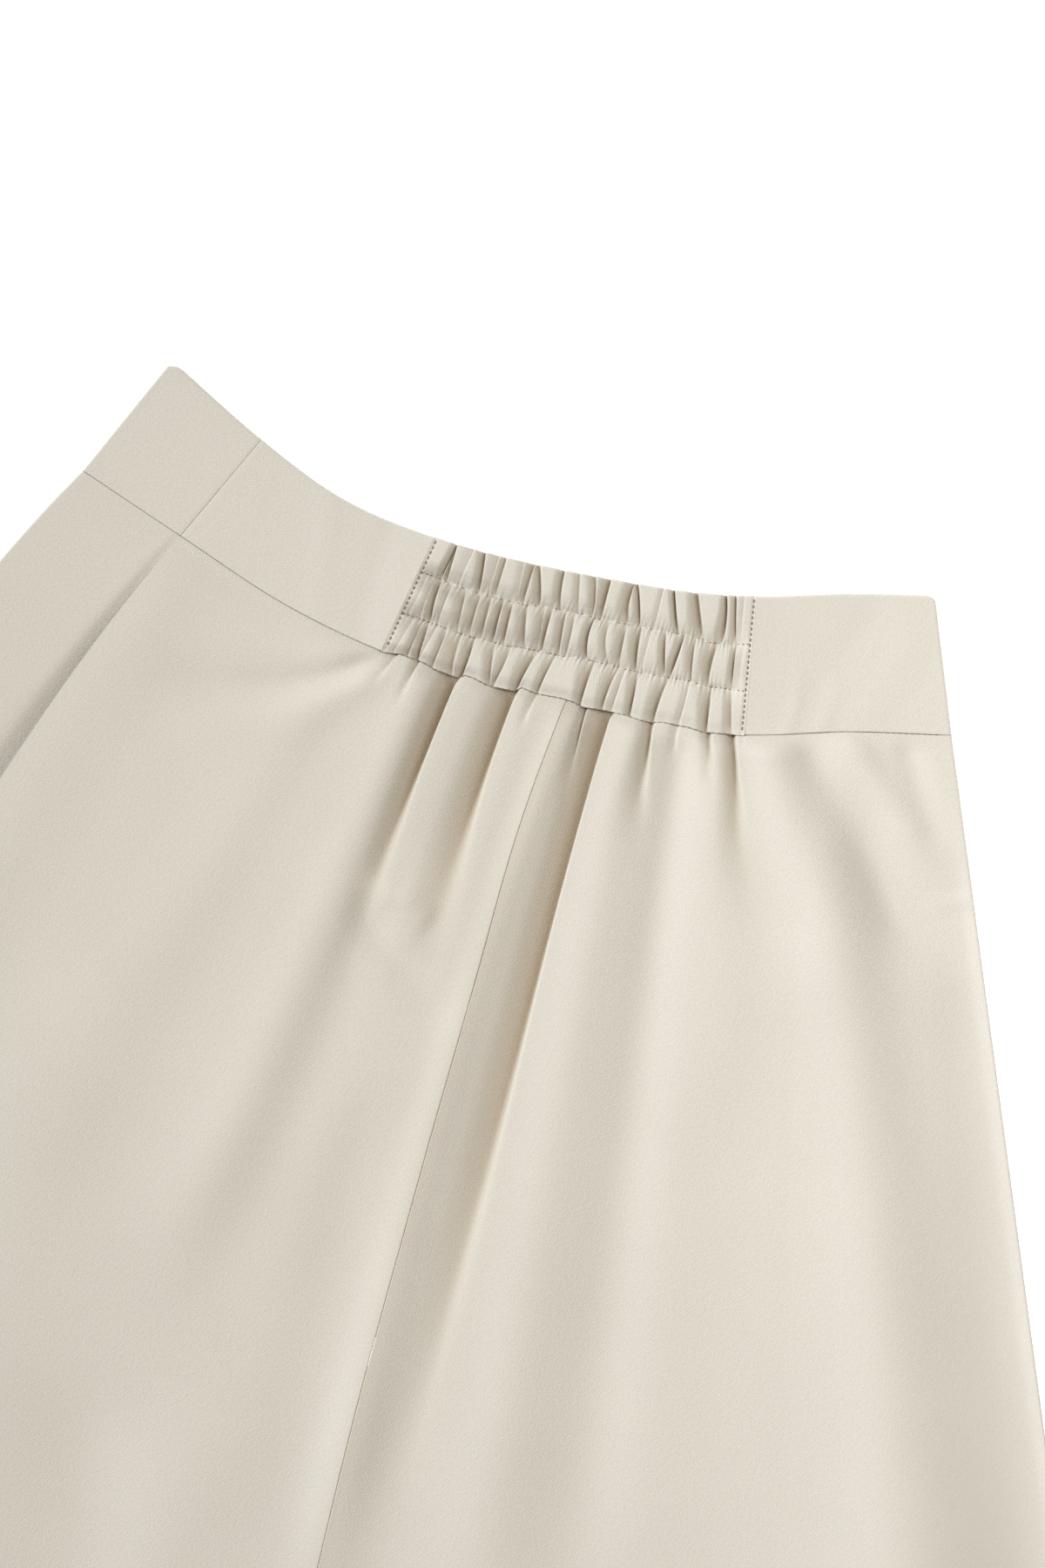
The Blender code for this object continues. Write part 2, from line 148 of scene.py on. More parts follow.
# The creases are soft ridges, and troughs where their height is negative. A crease runs between
# two places, each a rib and a distance below the seam, and bows sideways in its middle by bow.
CREASE_COLUMNS = ("rib", "down", "end_rib", "end_down", "bow",
                  "width", "end_width", "height", "end_height")
LEFT_CREASES = {
    "trough_from_corner":   (-79, 2, -140, 48, 5, 3.8, 10, -3.0, -1.4),
    "ridge_by_trough":      (-80, 14, -124, 62, 3, 6, 15, 1.1, 0.6),
    "ridge_beside_deep":    (-59, 10, -68, 240, 4, 8, 13, 1.6, 2.2),
    "trough_beside_deep":   (-42, 96, -54, 260, 3, 9, 13, -1.2, -0.8),
    "trough_left_of_ridge": (-84, 40, -98, 260, 0, 9, 14, -0.6, -0.6),
    "ridge_diagonal":       (-92, 34, -124, 240, 4, 12, 22, 0.9, 1.3),
    "ridge_below_second":   (-38, 92, -22, 99, 2, 5, 6, 2.0, 1.4),
    "trough_below_second":  (-36, 110, -6, 134, 0, 6, 8, -1.7, -1.0),
    "ridge_between":        (-43, 0, -38, 90, 0, 4, 7, 0.4, 0.4),
    "ridge_second_right":   (-17, 0, -11, 120, 0, 5, 8, 0.6, 0.9),
    "trough_by_centre":     (-20, 200, -15, 350, 0, 10, 12, -1.2, -1.0),
    "trough_lower_left":    (-74, 334, -56, 440, 0, 15, 18, -1.9, -1.0),
    "ridge_by_side":        (-160, 30, -156, 240, 0, 9, 13, 0.4, 0.5),
    "trough_by_side":       (-140, 60, -145, 270, 0, 11, 14, -0.3, -0.5),
    "ridge_leg_left":       (-112, 240, -116, 590, 4, 20, 22, 1.0, 3.2),
    "trough_hem_left":      (-82, 430, -84, 590, 0, 14, 17, -0.6, -2.0),
    "ridge_hem_inner":      (-44, 340, -50, 590, -3, 14, 16, 0.6, 2.4),
    "trough_hem_side":      (-146, 300, -146, 590, 0, 14, 17, -0.5, -2.2),
}
RIGHT_CREASES = {
    "ridge_at_centre":      (0, 14, -3, 350, 0, 5.5, 6.5, 1.7, 3.2),
    "ridge_first":          (26, 6, 31, 360, 1, 7, 9, 1.7, 2.2),
    "trough_first":         (45, 26, 50, 350, 1, 7, 9, -3.0, -2.1),
    "ridge_second":         (60, 6, 70, 150, 2, 7, 13, 2.0, 1.2),
    "ridge_broad":          (86, 30, 104, 400, 8, 17, 26, 3.0, 4.4),
    "ridge_shoulder":       (102, 50, 118, 400, 4, 11, 13, 3.8, 6.0),
    "trough_fine":          (89, 90, 91, 350, 0, 2.2, 2.6, -0.08, -0.08),
    "trough_to_side":       (92, 0, 131, 84, -3, 8, 14, -4.4, -3.8),
    "ridge_below_trough":   (72, -4, 103, 100, 3, 8, 12, 2.6, 2.8),
    "ridge_by_corner":      (108, 2, 131, 46, 0, 5, 7, 1.6, 1.4),
    "trough_along_side":    (142, 92, 142, 400, 0, 11, 12, -2.6, -3.2),
    "trough_by_corner":     (130, 8, 137, 44, 0, 5, 6, -1.4, -0.9),
    "ridge_at_side":        (137, 68, 150, 65, 0, 2.2, 2.6, 0.5, 0.8),
    "ridge_hem_right":      (112, 430, 112, 590, 0, 14, 16, 0.3, 1.4),
    "trough_hem_right":     (64, 370, 66, 590, 0, 13, 16, -0.6, -2.4),
    "trough_hem_inner":     (11, 316, 16, 590, 0, 9, 12, -1.2, -1.6),
}
CREASE_START = 14.0         # a crease fades in over this much before its start,
START_SHARE = 0.2           # and over this share of its length more, unless it starts
SEAM_ZONE = 20.0            # less than this below the seam
CREASE_END = 1.2            # it has gone at this many times its length, after it
CREASE_FADE = 0.4           # faded over this many

# The elastic draws the seam up and down a little: how far, in millimetres, at shares of its width.
SEAM_WAVE = {0.0: -0.5, 0.05: 1.5, 0.12: 1.3, 0.15: 0.0, 0.22: -0.8, 0.235: 1.0, 0.26: 0.8,
             0.30: -0.8, 0.375: -0.6, 0.39: 1.5, 0.43: 0.4, 0.50: 0.8, 0.53: 0.5, 0.56: -0.8,
             0.62: 0.0, 0.68: 0.1, 0.72: -0.5, 0.75: -0.5, 0.78: 0.6, 0.85: 0.5, 0.89: -0.5,
             0.95: -0.2, 1.0: -0.5}
WAVE_REACH = 8.0            # and how far from the seam that dies out
# How far right of its rib the centre back seam wanders, by the distance below the band seam.
CENTRE_WANDER = {0.0: 0.0, 50.0: 0.5, 120.0: 2.7, 200.0: 2.3, 300.0: 0.4, 400.0: 0.0, 600.0: 0.0}


def smooth_between(at, knots, values):
    """Cubic curve through the values at the knots, with the slope at each taken from the two
    values beside it.
    """
    slopes = np.gradient(values, knots)
    left = np.clip(np.searchsorted(knots, at) - 1, 0, len(knots) - 2)
    span = knots[left + 1] - knots[left]
    t = (at - knots[left]) / span
    from_left = values[left] * (1 + 2 * t) * (1 - t) ** 2 + span * slopes[left] * t * (1 - t) ** 2
    from_right = values[left + 1] * t ** 2 * (3 - 2 * t) + span * slopes[left + 1] * t ** 2 * (t - 1)
    return from_left + from_right


def rib_value(column, rib):
    """The named column of RIBS, worked out smoothly at any place across the garment."""
    table = np.array(list(RIBS.values()), dtype=float)
    return smooth_between(np.asarray(rib, dtype=float), table[:, 0],
                          table[:, RIB_COLUMNS.index(column)])


def share_of_elastic(rib):
    """0 at the elastic's left end and 1 at its right end."""
    return (rib - ELASTIC_LEFT) / (ELASTIC_RIGHT - ELASTIC_LEFT)


def seam_wave(rib):
    """How far the elastic draws the seam up at a rib."""
    return np.interp(share_of_elastic(rib), list(SEAM_WAVE), list(SEAM_WAVE.values()), left=0, right=0)


def direction(heading):
    """Unit vector, in plan, of a heading in degrees from straight down the leg."""
    return np.sin(np.radians(heading)), -np.cos(np.radians(heading))


def leg_plan(rib, down):
    """Plan place on a rib at a distance below the band seam.

    A straight line along the last heading, plus what the rib gains while it settles from its
    first heading: settle * (1 - exp(-down / settle)) times the difference of the two.
    """
    first_x, first_y = direction(rib_value("first_heading", rib))
    last_x, last_y = direction(rib_value("last_heading", rib))
    settled = RIB_SETTLE * (1 - np.exp(-down / RIB_SETTLE))
    x = rib_value("seam_x", rib) + down * last_x + settled * (first_x - last_x)
    y = rib_value("seam_y", rib) + down * last_y + settled * (first_y - last_y)
    return x, y + seam_wave(rib) * np.exp(-down / WAVE_REACH)


def centre_wander(down):
    """CENTRE_WANDER, worked out smoothly at any distance below the band seam."""
    return smooth_between(down, np.array(list(CENTRE_WANDER)), np.array(list(CENTRE_WANDER.values())))


def beside(rib, inset, plan, along):
    """The rib that lies inset millimetres to the right of a rib, where plan gives the places."""
    near_x, near_y = plan(rib - 0.5, along)
    far_x, far_y = plan(rib + 0.5, along)
    return rib + inset / np.hypot(far_x - near_x, far_y - near_y)


def mix(first, last, t):
    """Runs evenly from the first value, where t is 0, to the last one, where it is 1."""
    return first + (last - first) * t


def ease(t):
    """0 below 0, 1 above 1, and a smooth step between."""
    t = np.clip(t, 0, 1)
    return t * t * (3 - 2 * t)


def rising(distance, reach_and_start):
    """Grows from an edge to 1: ease(distance / reach + start)."""
    reach, start = reach_and_start
    return ease(distance / reach + start)


def bell(distance, width):
    """1 at no distance, falling to 0 over about twice the width."""
    return np.exp(-(distance / width) ** 2)


def hollow(place, left, right, power, soft, edge):
    """How far cloth has sunk into a hollow, and how far it belongs to the fold on the right.

    The first is ((place - left) / width) ** power, with its start rounded, and drops to 0 at the
    right edge, where the second rises from 0 to 1. Both steps are a tanh.
    """
    from_left = (place - left + np.hypot(place - left, soft)) / 2
    after = (1 + np.tanh((place - right) / edge)) / 2
    return np.clip(from_left / (right - left), 0, 1) ** power * (1 - after), after


def turned_edge(distance, radius=EDGE_TURN):
    """How far cloth falls at a sewn edge: a quarter circle, nothing at a distance of the radius
    and the whole radius at none.
    """
    short = np.clip(1 - distance / radius, 0, 1)
    return radius * (1 - np.sqrt(1 - short ** 2))


def rows_of(table, columns):
    """Each row of a table as a dictionary by column name."""
    return [dict(zip(columns, row)) for row in table.values()]


def gather_relief(rib, down):
    """Depth of the gathers, negative, how far their folds lie over them, and the shade painted into them.

    Each is a hollow whose edges and depth run to their last values over its reach, the depth with
    the share of the reach ** 1.6, and the softness of its right edge with that share ** 3.
    """
    relief, shift, painted_shade = np.zeros_like(rib), np.zeros_like(rib), np.zeros_like(rib)
    for gather in rows_of(GATHERS, GATHER_COLUMNS):
        t = np.clip(down / gather["reach"], 0, GATHER_END)
        sway = gather["bow"] * 4 * t * (1 - t)
        left = mix(gather["left"], gather["end_left"], t) + sway
        right = mix(gather["right"], gather["end_right"], t) + sway
        edge = FOLD_EDGE + gather["end_edge"] * t ** 3
        depth = mix(gather["depth"], gather["end_depth"], np.minimum(t, 1) ** 1.6)
        fade = ease((GATHER_END - t) / GATHER_FADE)
        sunk, after = hollow(rib, left, right, gather["power"], gather["soft"], edge)
        relief -= depth * fade * sunk
        # Painted shade in the hollow, darker where it is deeper.
        painted_shade += sunk * fade * ease(depth / DEEP)
        over = fade * np.clip(1 - t ** 3, 0, 1)
        shift -= gather["lap"] * over * after * np.exp(-np.maximum(rib - right, 0) / LAP_REACH)
    return np.stack([relief, shift, painted_shade])


def crease_relief(rib, down, creases):
    """Height of the creases: each is a bell across its own bowed line, and its ends fade."""
    relief = np.zeros_like(rib)
    for crease in rows_of(creases, CREASE_COLUMNS):
        run_rib, run_down = crease["end_rib"] - crease["rib"], crease["end_down"] - crease["down"]
        length = np.hypot(run_rib, run_down)
        from_rib, from_down = rib - crease["rib"], down - crease["down"]
        along = (from_rib * run_rib + from_down * run_down) / length ** 2
        t = np.clip(along, 0, 1)
        aside = (from_rib * run_down - from_down * run_rib) / length - crease["bow"] * 4 * t * (1 - t)
        width = mix(crease["width"], crease["end_width"], t)
        height = mix(crease["height"], crease["end_height"], t)
        start = CREASE_START + (0 if crease["down"] < SEAM_ZONE else START_SHARE * length)
        ends = ease(1 + along * length / start) * ease((CREASE_END - along) / CREASE_FADE)
        relief += height * bell(aside, width) * ends
    return relief


def above_under_layer(height):
    """The height, but never below LOWEST: with over = height - LOWEST, it is LOWEST and half of
    over + the root of over squared + ROUNDING.
    """
    over = height - LOWEST
    return LOWEST + (over + np.sqrt(over ** 2 + ROUNDING)) / 2


def away_from(line, x, y, along, plan=leg_plan):
    """Distance in plan from a rib, at the same place along it."""
    line_x, line_y = plan(np.broadcast_to(line, along.shape), along)
    return np.hypot(x - line_x, y - line_y)


def on_tube(x, y, top, angle):
    """Points of the flat tube of cloth: their height is half the upper face's times 1 + sin(angle)."""
    return np.stack([x, y, top / 2 * (1 + np.sin(np.radians(angle)))], axis=-1)


def leg_height(rib, down, x, y, creases):
    """Height of the upper layer's face on a leg, before its sewn edges turn down."""
    from_left = ease((rib - ELASTIC_LEFT + LOFT_BESIDE) / LOFT_SLOPE)
    near_elastic = from_left * ease((ELASTIC_RIGHT + LOFT_BESIDE - rib) / LOFT_SLOPE)
    calm = rising(away_from(RIGHT_FOLD, x, y, down), FOLD_CALM) * rising(down, SEAM_CALM)
    relief = crease_relief(rib, down, creases) * calm + gather_relief(rib, down)[0]
    relief += GATHER_LOFT * near_elastic * np.exp(-down / LOFT_REACH) * rising(down, LOFT_RISE)
    return above_under_layer(LOFT + relief)


def centre_fall(rib, down, x, y, side):
    """How far a panel's edge turns down at the centre back seam. Side is 1 on the right panel."""
    line = beside(np.full_like(down, CENTRE_BACK), centre_wander(down), leg_plan, down)
    away = away_from(line, x, y, down)
    to_edge = np.where((rib - line) * side > 0, away, 0.0) - SEAM_GAP / 2
    return turned_edge(to_edge, CENTRE_TURN) * (1 - ease((down - MEET_END) / CROTCH_TURN))


def back_left_height(rib, down, x, y):
    """Height of the left panel, which shares the right one's ridge along the centre back."""
    ridge = RIGHT_CREASES["ridge_at_centre"]
    level = crease_relief(rib, down, {"ridge_at_centre": ridge})
    return leg_height(rib, down, x, y, LEFT_CREASES) + level - centre_fall(rib, down, x, y, -1)


def back_right_height(rib, down, x, y):
    """Height of the right panel."""
    return leg_height(rib, down, x, y, RIGHT_CREASES) - centre_fall(rib, down, x, y, 1)


def crowded(start, stop, count, dense):
    """Places from start to stop that draw together near each (place, reach, times) in dense.

    They are even in the running total of 1 + times * bell around each of those places.
    """
    fine = np.linspace(start, stop, 4001)
    weight = np.ones_like(fine)
    for place, reach, times in dense:
        weight += times * bell(fine - place, reach)
    total = np.concatenate([[0], np.cumsum((weight[1:] + weight[:-1]) / 2)])
    return np.interp(np.linspace(0, total[-1], count), total, fine)


def columns_of(rib, inset=0.0, angle=90.0, inset_above=None, angle_above=None):
    """Columns of a surface: the rib each one follows, how far to the right of it the column lies,
    and its angle round the flat tube of cloth, 90 on the upper layer and -90 on the under one.
    The last two are what it has above the crotch, where the legs are one.
    """
    inset_above = inset if inset_above is None else inset_above
    angle_above = angle if angle_above is None else angle_above
    return np.stack(np.broadcast_arrays(rib, inset, angle, inset_above, angle_above)).astype(float)


def soft_fold(rib, side, first, last, steps):
    """Columns round a soft fold, an upright ellipse. Side is 1 where the cloth lies to its right."""
    angle = np.linspace(first, last, steps)
    return columns_of(rib, side * FOLD_RADIUS * (1 - np.cos(np.radians(angle))), angle)


def inner_edge(side, edge, edge_above, first, last, steps):
    """Columns at a leg's inner edge, which lies edge millimetres right of the centre back.

    Below the crotch they go round a soft fold, and above it they run up to the flat seam.
    """
    rib, inset, angle = soft_fold(CENTRE_BACK, side, first, last, steps)[:3]
    return columns_of(rib, edge + inset, angle, edge_above + inset, np.sign(angle) * 90)


def between(ribs, ends, insets, insets_above=None, angle=90.0):
    """Columns on ribs between two end ones, with insets that run evenly from end to end. Each pair
    is given from left to right, and insets_above holds above the crotch.
    """
    above = None if insets_above is None else np.interp(ribs, ends, insets_above)
    return columns_of(ribs, np.interp(ribs, ends, insets), angle, above)


def leg_surface(columns, rows, height):
    """Points of a leg piece, with a row of them at each distance below the band seam, and the shade
    painted on each one.

    Underneath, the ribs of the inner edge swing from the centre front, at the band, to the centre
    back, at the crotch.
    """
    down = np.broadcast_to(rows[:, None], (len(rows), columns.shape[1]))
    rib, inset, angle, inset_above, angle_above = (np.broadcast_to(c, down.shape) for c in columns)
    last_joined = np.where(angle_above > 0, MEET_END, CROTCH_DEPTH)
    parted = ease((down - last_joined) / CROTCH_TURN)
    inset = mix(inset_above, inset, parted)
    angle = mix(angle_above, angle, parted)
    outer = LEFT_FOLD if rib.mean() < CENTRE_BACK else RIGHT_FOLD
    inward = np.clip((rib - outer) / (CENTRE_BACK - outer), 0, 1)
    parting = HEM_PARTING / 2 * np.clip((down - PARTING_START) / (LEG_LENGTH - PARTING_START), 0, 1) ** 2
    inset = inset + np.sign(outer) * inward * parting
    inset = inset + np.where(angle_above > 0, centre_wander(down) * inward ** 4, 0.0)
    swing = inward * (1 - ease(down / CROTCH_DEPTH)) * (CENTRE_FRONT - CENTRE_BACK)
    rib = rib + np.where(angle_above == -90, swing, 0.0)
    rib = beside(rib, inset, leg_plan, down)
    x, y = leg_plan(rib, down)
    top = height(rib, down, x, y)
    shift, painted_shade = gather_relief(rib, down)[1:] * (angle > 0)
    x, y = leg_plan(rib + shift * ease((down - SEAM_GAP) / LAP_START), down)
    top = top - turned_edge(down - SEAM_GAP / 2, LEG_TURN)
    return on_tube(x, y, top, angle), painted_shade


# Where the garment's own zero lies in the frame, from the model's box.
HEM_LEFT = leg_plan(np.array(LEFT_FOLD), np.array(LEG_LENGTH))[0]
TOP_LEFT = RIBS["left_fold"][RIB_COLUMNS.index("top_y")]
MM = 0.001
ZERO = np.array([cad_box[0][0] / MM - HEM_LEFT, cad_box[1][1] / MM - TOP_LEFT, 0.0])


def cut_lengths(points):
    """Length of cloth along the rows and down the columns, up to each point of a surface."""
    across = np.linalg.norm(np.diff(points, axis=1), axis=-1).cumsum(axis=1)
    along = np.linalg.norm(np.diff(points, axis=0), axis=-1).cumsum(axis=0)
    return np.pad(across, ((0, 0), (1, 0))), np.pad(along, ((1, 0), (0, 0)))


def piece_of(name, points, faces, material):
    """A smooth piece at the origin, its mesh made from points in the garment's millimetres."""
    mesh = bpy.data.meshes.new(name)
    mesh.from_pydata(((points + ZERO) * MM).reshape(-1, 3), [], faces)
    mesh.shade_smooth()
    mesh.materials.append(material)
    piece = bpy.data.objects.new(name, mesh)
    bpy.context.scene.collection.objects.link(piece)
    return piece


def cloth(name, points, painted_shade, material, thickness=CREPE_THICKNESS):
    """Mesh of one piece of cloth from a grid of points, thickened inwards.

    Its UV map, called cut, holds the place on the flat cloth in metres: each point's length along
    its row, and its row's middling length down the columns. Its attribute dim holds the painted
    shade: how much the finish darkens each point's colour where little light reaches it.
    """
    row_count, column_count = points.shape[:2]
    index = np.arange(row_count * column_count).reshape(row_count, column_count)
    corners = [index[:-1, :-1], index[:-1, 1:], index[1:, 1:], index[1:, :-1]]
    faces = np.stack(corners, axis=-1).reshape(-1, 4)
    piece = piece_of(name, points, faces, material)
    across, along = cut_lengths(points)
    level = np.broadcast_to(np.median(along, axis=1, keepdims=True), along.shape)
    place = np.stack([across, -level], axis=-1).reshape(-1, 2) * MM
    piece.data.uv_layers.new(name="cut").data.foreach_set("uv", place[faces.ravel()].ravel())
    piece.data.attributes.new("dim", "FLOAT", "POINT").data.foreach_set("value", painted_shade.ravel())
    wall = piece.modifiers.new("wall", "SOLIDIFY")
    wall.thickness = thickness * MM
    wall.offset = -1.0
    return piece


def cut_size(points):
    """Width, length and area, in metres, of the flat cloth that a surface is made of."""
    across, along = cut_lengths(points)
    one, other = np.diff(points[:-1], axis=1), np.diff(points[:, :-1], axis=0)
    area = np.linalg.norm(np.cross(one, other), axis=-1).sum()
    return across.max() * MM, along.max() * MM, area * MM ** 2


def declare(piece, points, node):
    """Says which solid a piece of cloth replaces, and the flat cut it was made from."""
    width, length, area = cut_size(points)
    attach(piece, "root")
    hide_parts(node)
    min(area, width * length)
    print("cut of %s: %.0f x %.0f mm, %.4f m2" % (piece.name, width / MM, length / MM, area))


class Socket:
    """A value in a material. Arithmetic on it adds the Math nodes that work it out."""

    def __init__(self, finish, link):
        self.finish = finish
        self.link = link

    def maths(self, operation, first, second):
        return self.finish.node("Math", {"operation": operation}, {0: first, 1: second})

    def __add__(self, other):
        return self.maths("ADD", self, other)

    def __sub__(self, other):
        return self.maths("SUBTRACT", self, other)

    def __rsub__(self, other):
        return self.maths("SUBTRACT", other, self)

    def __mul__(self, other):
        return self.maths("MULTIPLY", self, other)

    __radd__ = __add__
    __rmul__ = __mul__


class Finish:
    """A material under construction, with its Principled shader."""

    def __init__(self, name):
        self.material = bpy.data.materials.new(name)
        self.material.use_nodes = True
        self.tree = self.material.node_tree
        self.shader = self.tree.nodes["Principled BSDF"]

    def node(self, kind, settings=None, inputs=None, output=0):
        """Adds a node, sets it, and links or sets its inputs. Returns the output asked for."""
        made = self.tree.nodes.new("ShaderNode" + kind)
        for name, value in (settings or {}).items():
            setattr(made, name, value)
        self.feed(made, inputs or {})
        return Socket(self, made.outputs[output])

    def feed(self, node, inputs):
        """Links a Socket to each input named, or sets it to a plain value."""
        for name, value in inputs.items():
            if isinstance(value, Socket):
                self.tree.links.new(value.link, node.inputs[name])
            else:
                node.inputs[name].default_value = value


TWILL_PITCH = 0.0007        # of the twill's diagonal ribs, in metres
WAVE_LENGTH = 0.314         # of a wave texture at a scale of 1
TWILL_TURN = -52            # degrees
CREAM = (0.705, 0.700, 0.655)
# Painted shade: the share of its red, green and blue that the cloth's colour loses where the attribute
# dim is 1.
PAINTED_SHADE_LOSS = (0.37, 0.47, 0.58)    # how much of its red, green and blue the cloth loses where dim


def crepe(name):
    """Finish of the polyester crepe: a fine diagonal twill, a dry grain and a soft sheen.

    The twill is a wave across the cut, and the grain and the pebble are noises. They make the
    bump, and the colour is painted slightly darker in their hollows as shade. Wide, faint clouds vary
    the colour, and painted shade makes it darker and warmer where the attribute dim is high, in the
    folds' hollows and beside the centre back seam, warm as light that has come off other cloth.
    """
    finish = Finish(name)
    cut = finish.node("UVMap", {"uv_map": "cut"})
    turned = finish.node("Mapping", {}, {"Vector": cut, "Rotation": (0, 0, radians(TWILL_TURN))})
    twill = finish.node("TexWave", {"wave_type": "BANDS", "bands_direction": "X"},
                        {"Vector": turned, "Scale": WAVE_LENGTH / TWILL_PITCH, "Distortion": 5.0,
                         "Detail": 2.0, "Detail Scale": 1.6}, output=1)
    grain = finish.node("TexNoise", {}, {"Vector": cut, "Scale": 1300.0, "Detail": 3.0})
    pebble = finish.node("TexNoise", {}, {"Vector": cut, "Scale": 820.0, "Detail": 2.0})
    clouds = finish.node("TexNoise", {}, {"Vector": cut, "Scale": 14.0, "Detail": 3.0})
    weave = twill * 0.40 + grain * 0.5 + pebble * 0.9
    # The clouds vary the tone at random. The weave's part is painted shade in its hollows, and the
    # attribute dim adds painted shade in the folds.
    shade = clouds * 0.08 + weave * 0.13 + 0.84
    dim = finish.node("Attribute", {"attribute_name": "dim"}, {}, output=2)
    tint = finish.node("CombineColor", {}, {
        channel: shade * full * (1 - dim * loss)
        for channel, full, loss in zip(("Red", "Green", "Blue"), CREAM, PAINTED_SHADE_LOSS)})
    bump = finish.node("Bump", {}, {"Strength": 0.7, "Distance": 0.00022, "Height": weave})
    finish.feed(finish.shader, {"Base Color": tint, "Roughness": 0.74 + grain * 0.14, "Normal": bump,
                                "Sheen Weight": 0.10, "Sheen Roughness": 0.45,
                                "Sheen Tint": (1.0, 0.98, 0.94, 1.0), "Specular IOR Level": 0.22})
    return finish.material


def turn_steps(radius, steps=TURN_STEPS):
    """Distances from an edge that turns down in a quarter circle, even round the circle."""
    return radius * (1 - np.cos(np.linspace(0, pi / 2, steps)))


ROW_EVENNESS = 0.34         # a leg's rows are even in this share of them, and close up by the rest
TURN_CLEAR = 0.3            # between the turned edge and the first row below it


def leg_rows(count):
    """Distances below the band seam, which close up from the hem to the gathers and the seam.

    The first lies under the band's edge, so that the seam is closed.
    """
    steps = np.linspace(0, 1, count)
    start = LEG_TURN + TURN_CLEAR
    spread = mix(steps ** 2, steps, ROW_EVENNESS)
    return np.concatenate([[-SEAM_TUCK], SEAM_GAP / 2 + turn_steps(LEG_TURN)[:-1],
                           mix(start, LEG_LENGTH, spread)])


leg_crepe = crepe("cream_crepe_of_the_legs")
back_rows = leg_rows(158)
EDGE_STEPS = SEAM_GAP / 2 + turn_steps(EDGE_TURN)   # columns where a sewn edge turns
LEFT_EDGE, RIGHT_EDGE = 0.8, 1.6    # the legs' inner folds lie this far right of the centre back
MEETING = SEAM_GAP / 2              # and above the crotch their edges are this far from the seam
# Columns draw together at the gathers, at the fold beside them and at the seams.
face_ribs = crowded(CENTRE_BACK - 0.4, SIDE_SEAM + 2.2, 268,
                    [(-46, 9, 2.6), (-20, 9, 2.6), (-36, 34, 1.8), (-72, 14, 1.2), (SIDE_SEAM, 6, 1.6),
                     (CENTRE_BACK, 8, 1.4)])
left_columns = np.hstack([
    inner_edge(-1, LEFT_EDGE, -MEETING, 4, 86, 15),
    between(face_ribs, (SIDE_SEAM, CENTRE_BACK), (0.0, LEFT_EDGE - FOLD_RADIUS),
            (0.0, -MEETING - FOLD_RADIUS)),
    columns_of(SIDE_SEAM, np.concatenate([[2.0, 1.2], EDGE_STEPS[::-1]])),
])
back_left_points, back_left_painted_shade = leg_surface(left_columns, back_rows, back_left_height)

face_ribs = crowded(RIGHT_FOLD - 0.4, CENTRE_BACK + 0.4, 268,
                    [(12, 11, 3.0), (33, 7, 2.0), (24, 34, 1.8), (62, 11, 2.0), (RIGHT_FOLD, 8, 0.8),
                     (CENTRE_BACK, 10, 1.2)])
right_columns = np.hstack([
    soft_fold(RIGHT_FOLD, -1, 4, 86, 9),
    between(face_ribs, (CENTRE_BACK, RIGHT_FOLD), (RIGHT_EDGE + FOLD_RADIUS, -FOLD_RADIUS),
            (MEETING + FOLD_RADIUS, -FOLD_RADIUS)),
    inner_edge(1, RIGHT_EDGE, MEETING, 86, 4, 15),
])
back_right_points, back_right_painted_shade = leg_surface(right_columns, back_rows, back_right_height)

# Painted shade: along the seam the right panel's colour is darkened where it lies a little in the left
# one's shade.
from_seam = np.linalg.norm((back_right_points - back_right_points[:, -1:])[..., :2], axis=-1)
joined = 1 - ease((back_rows - MEET_END) / CROTCH_TURN)
back_right_painted_shade = back_right_painted_shade + SEAM_PAINTED_SHADE * np.exp(-from_seam / SHADE_REACH) * joined[:, None]

back_leg_left = cloth("crepe_back_leg_left", back_left_points, back_left_painted_shade, leg_crepe)
back_leg_right = cloth("crepe_back_leg_right", back_right_points, back_right_painted_shade, leg_crepe)
declare(back_leg_right, back_right_points, "back_leg_right")


# ==============================================================================================
# The two front legs. They lie face down under the back ones. The left one comes round the left
# fold and shows as a strip, which bulges and rolls down into the side seam.
# ==============================================================================================
# Places down the leg, how far the strip sinks into the side seam there, and over what width.
SINK = ((0, 0.3, 2.0), (20, 1.1, 2.6), (60, 2.2, 4.0), (120, 2.9, 6.0), (260, 2.9, 8.0), (590, 1.4, 9.0))
UNDER_MEETING = 0.25        # the under layer's edges are this far from the centre front


def front_strip_height(rib, down, x, y):
    """Height of the strip that shows: the loft less a bell across the side seam, by SINK."""
    place, sink, width = np.array(SINK).T
    across = bell(away_from(SIDE_SEAM, x, y, down), np.interp(down, place, width))
    return above_under_layer(LOFT - np.interp(down, place, sink) * across)


front_rows = leg_rows(150)
strip_ribs = crowded(SIDE_SEAM - 1.0, LEFT_FOLD + 0.5, 34, [(SIDE_SEAM, 9, 3.0)])
front_left_columns = np.hstack([
    columns_of(SIDE_SEAM, -EDGE_STEPS),
    between(strip_ribs, (LEFT_FOLD, SIDE_SEAM), (FOLD_RADIUS, 0.0)),
    soft_fold(LEFT_FOLD, 1, 86, -86, 19),
    between(np.linspace(LEFT_FOLD + 1, CENTRE_BACK - 1, 24), (LEFT_FOLD, CENTRE_BACK),
            (FOLD_RADIUS, LEFT_EDGE - FOLD_RADIUS), (FOLD_RADIUS, -UNDER_MEETING - FOLD_RADIUS), -90.0),
    inner_edge(-1, LEFT_EDGE, -UNDER_MEETING, -86, -4, 8),
])
front_left_points, front_left_painted_shade = leg_surface(front_left_columns, front_rows, front_strip_height)

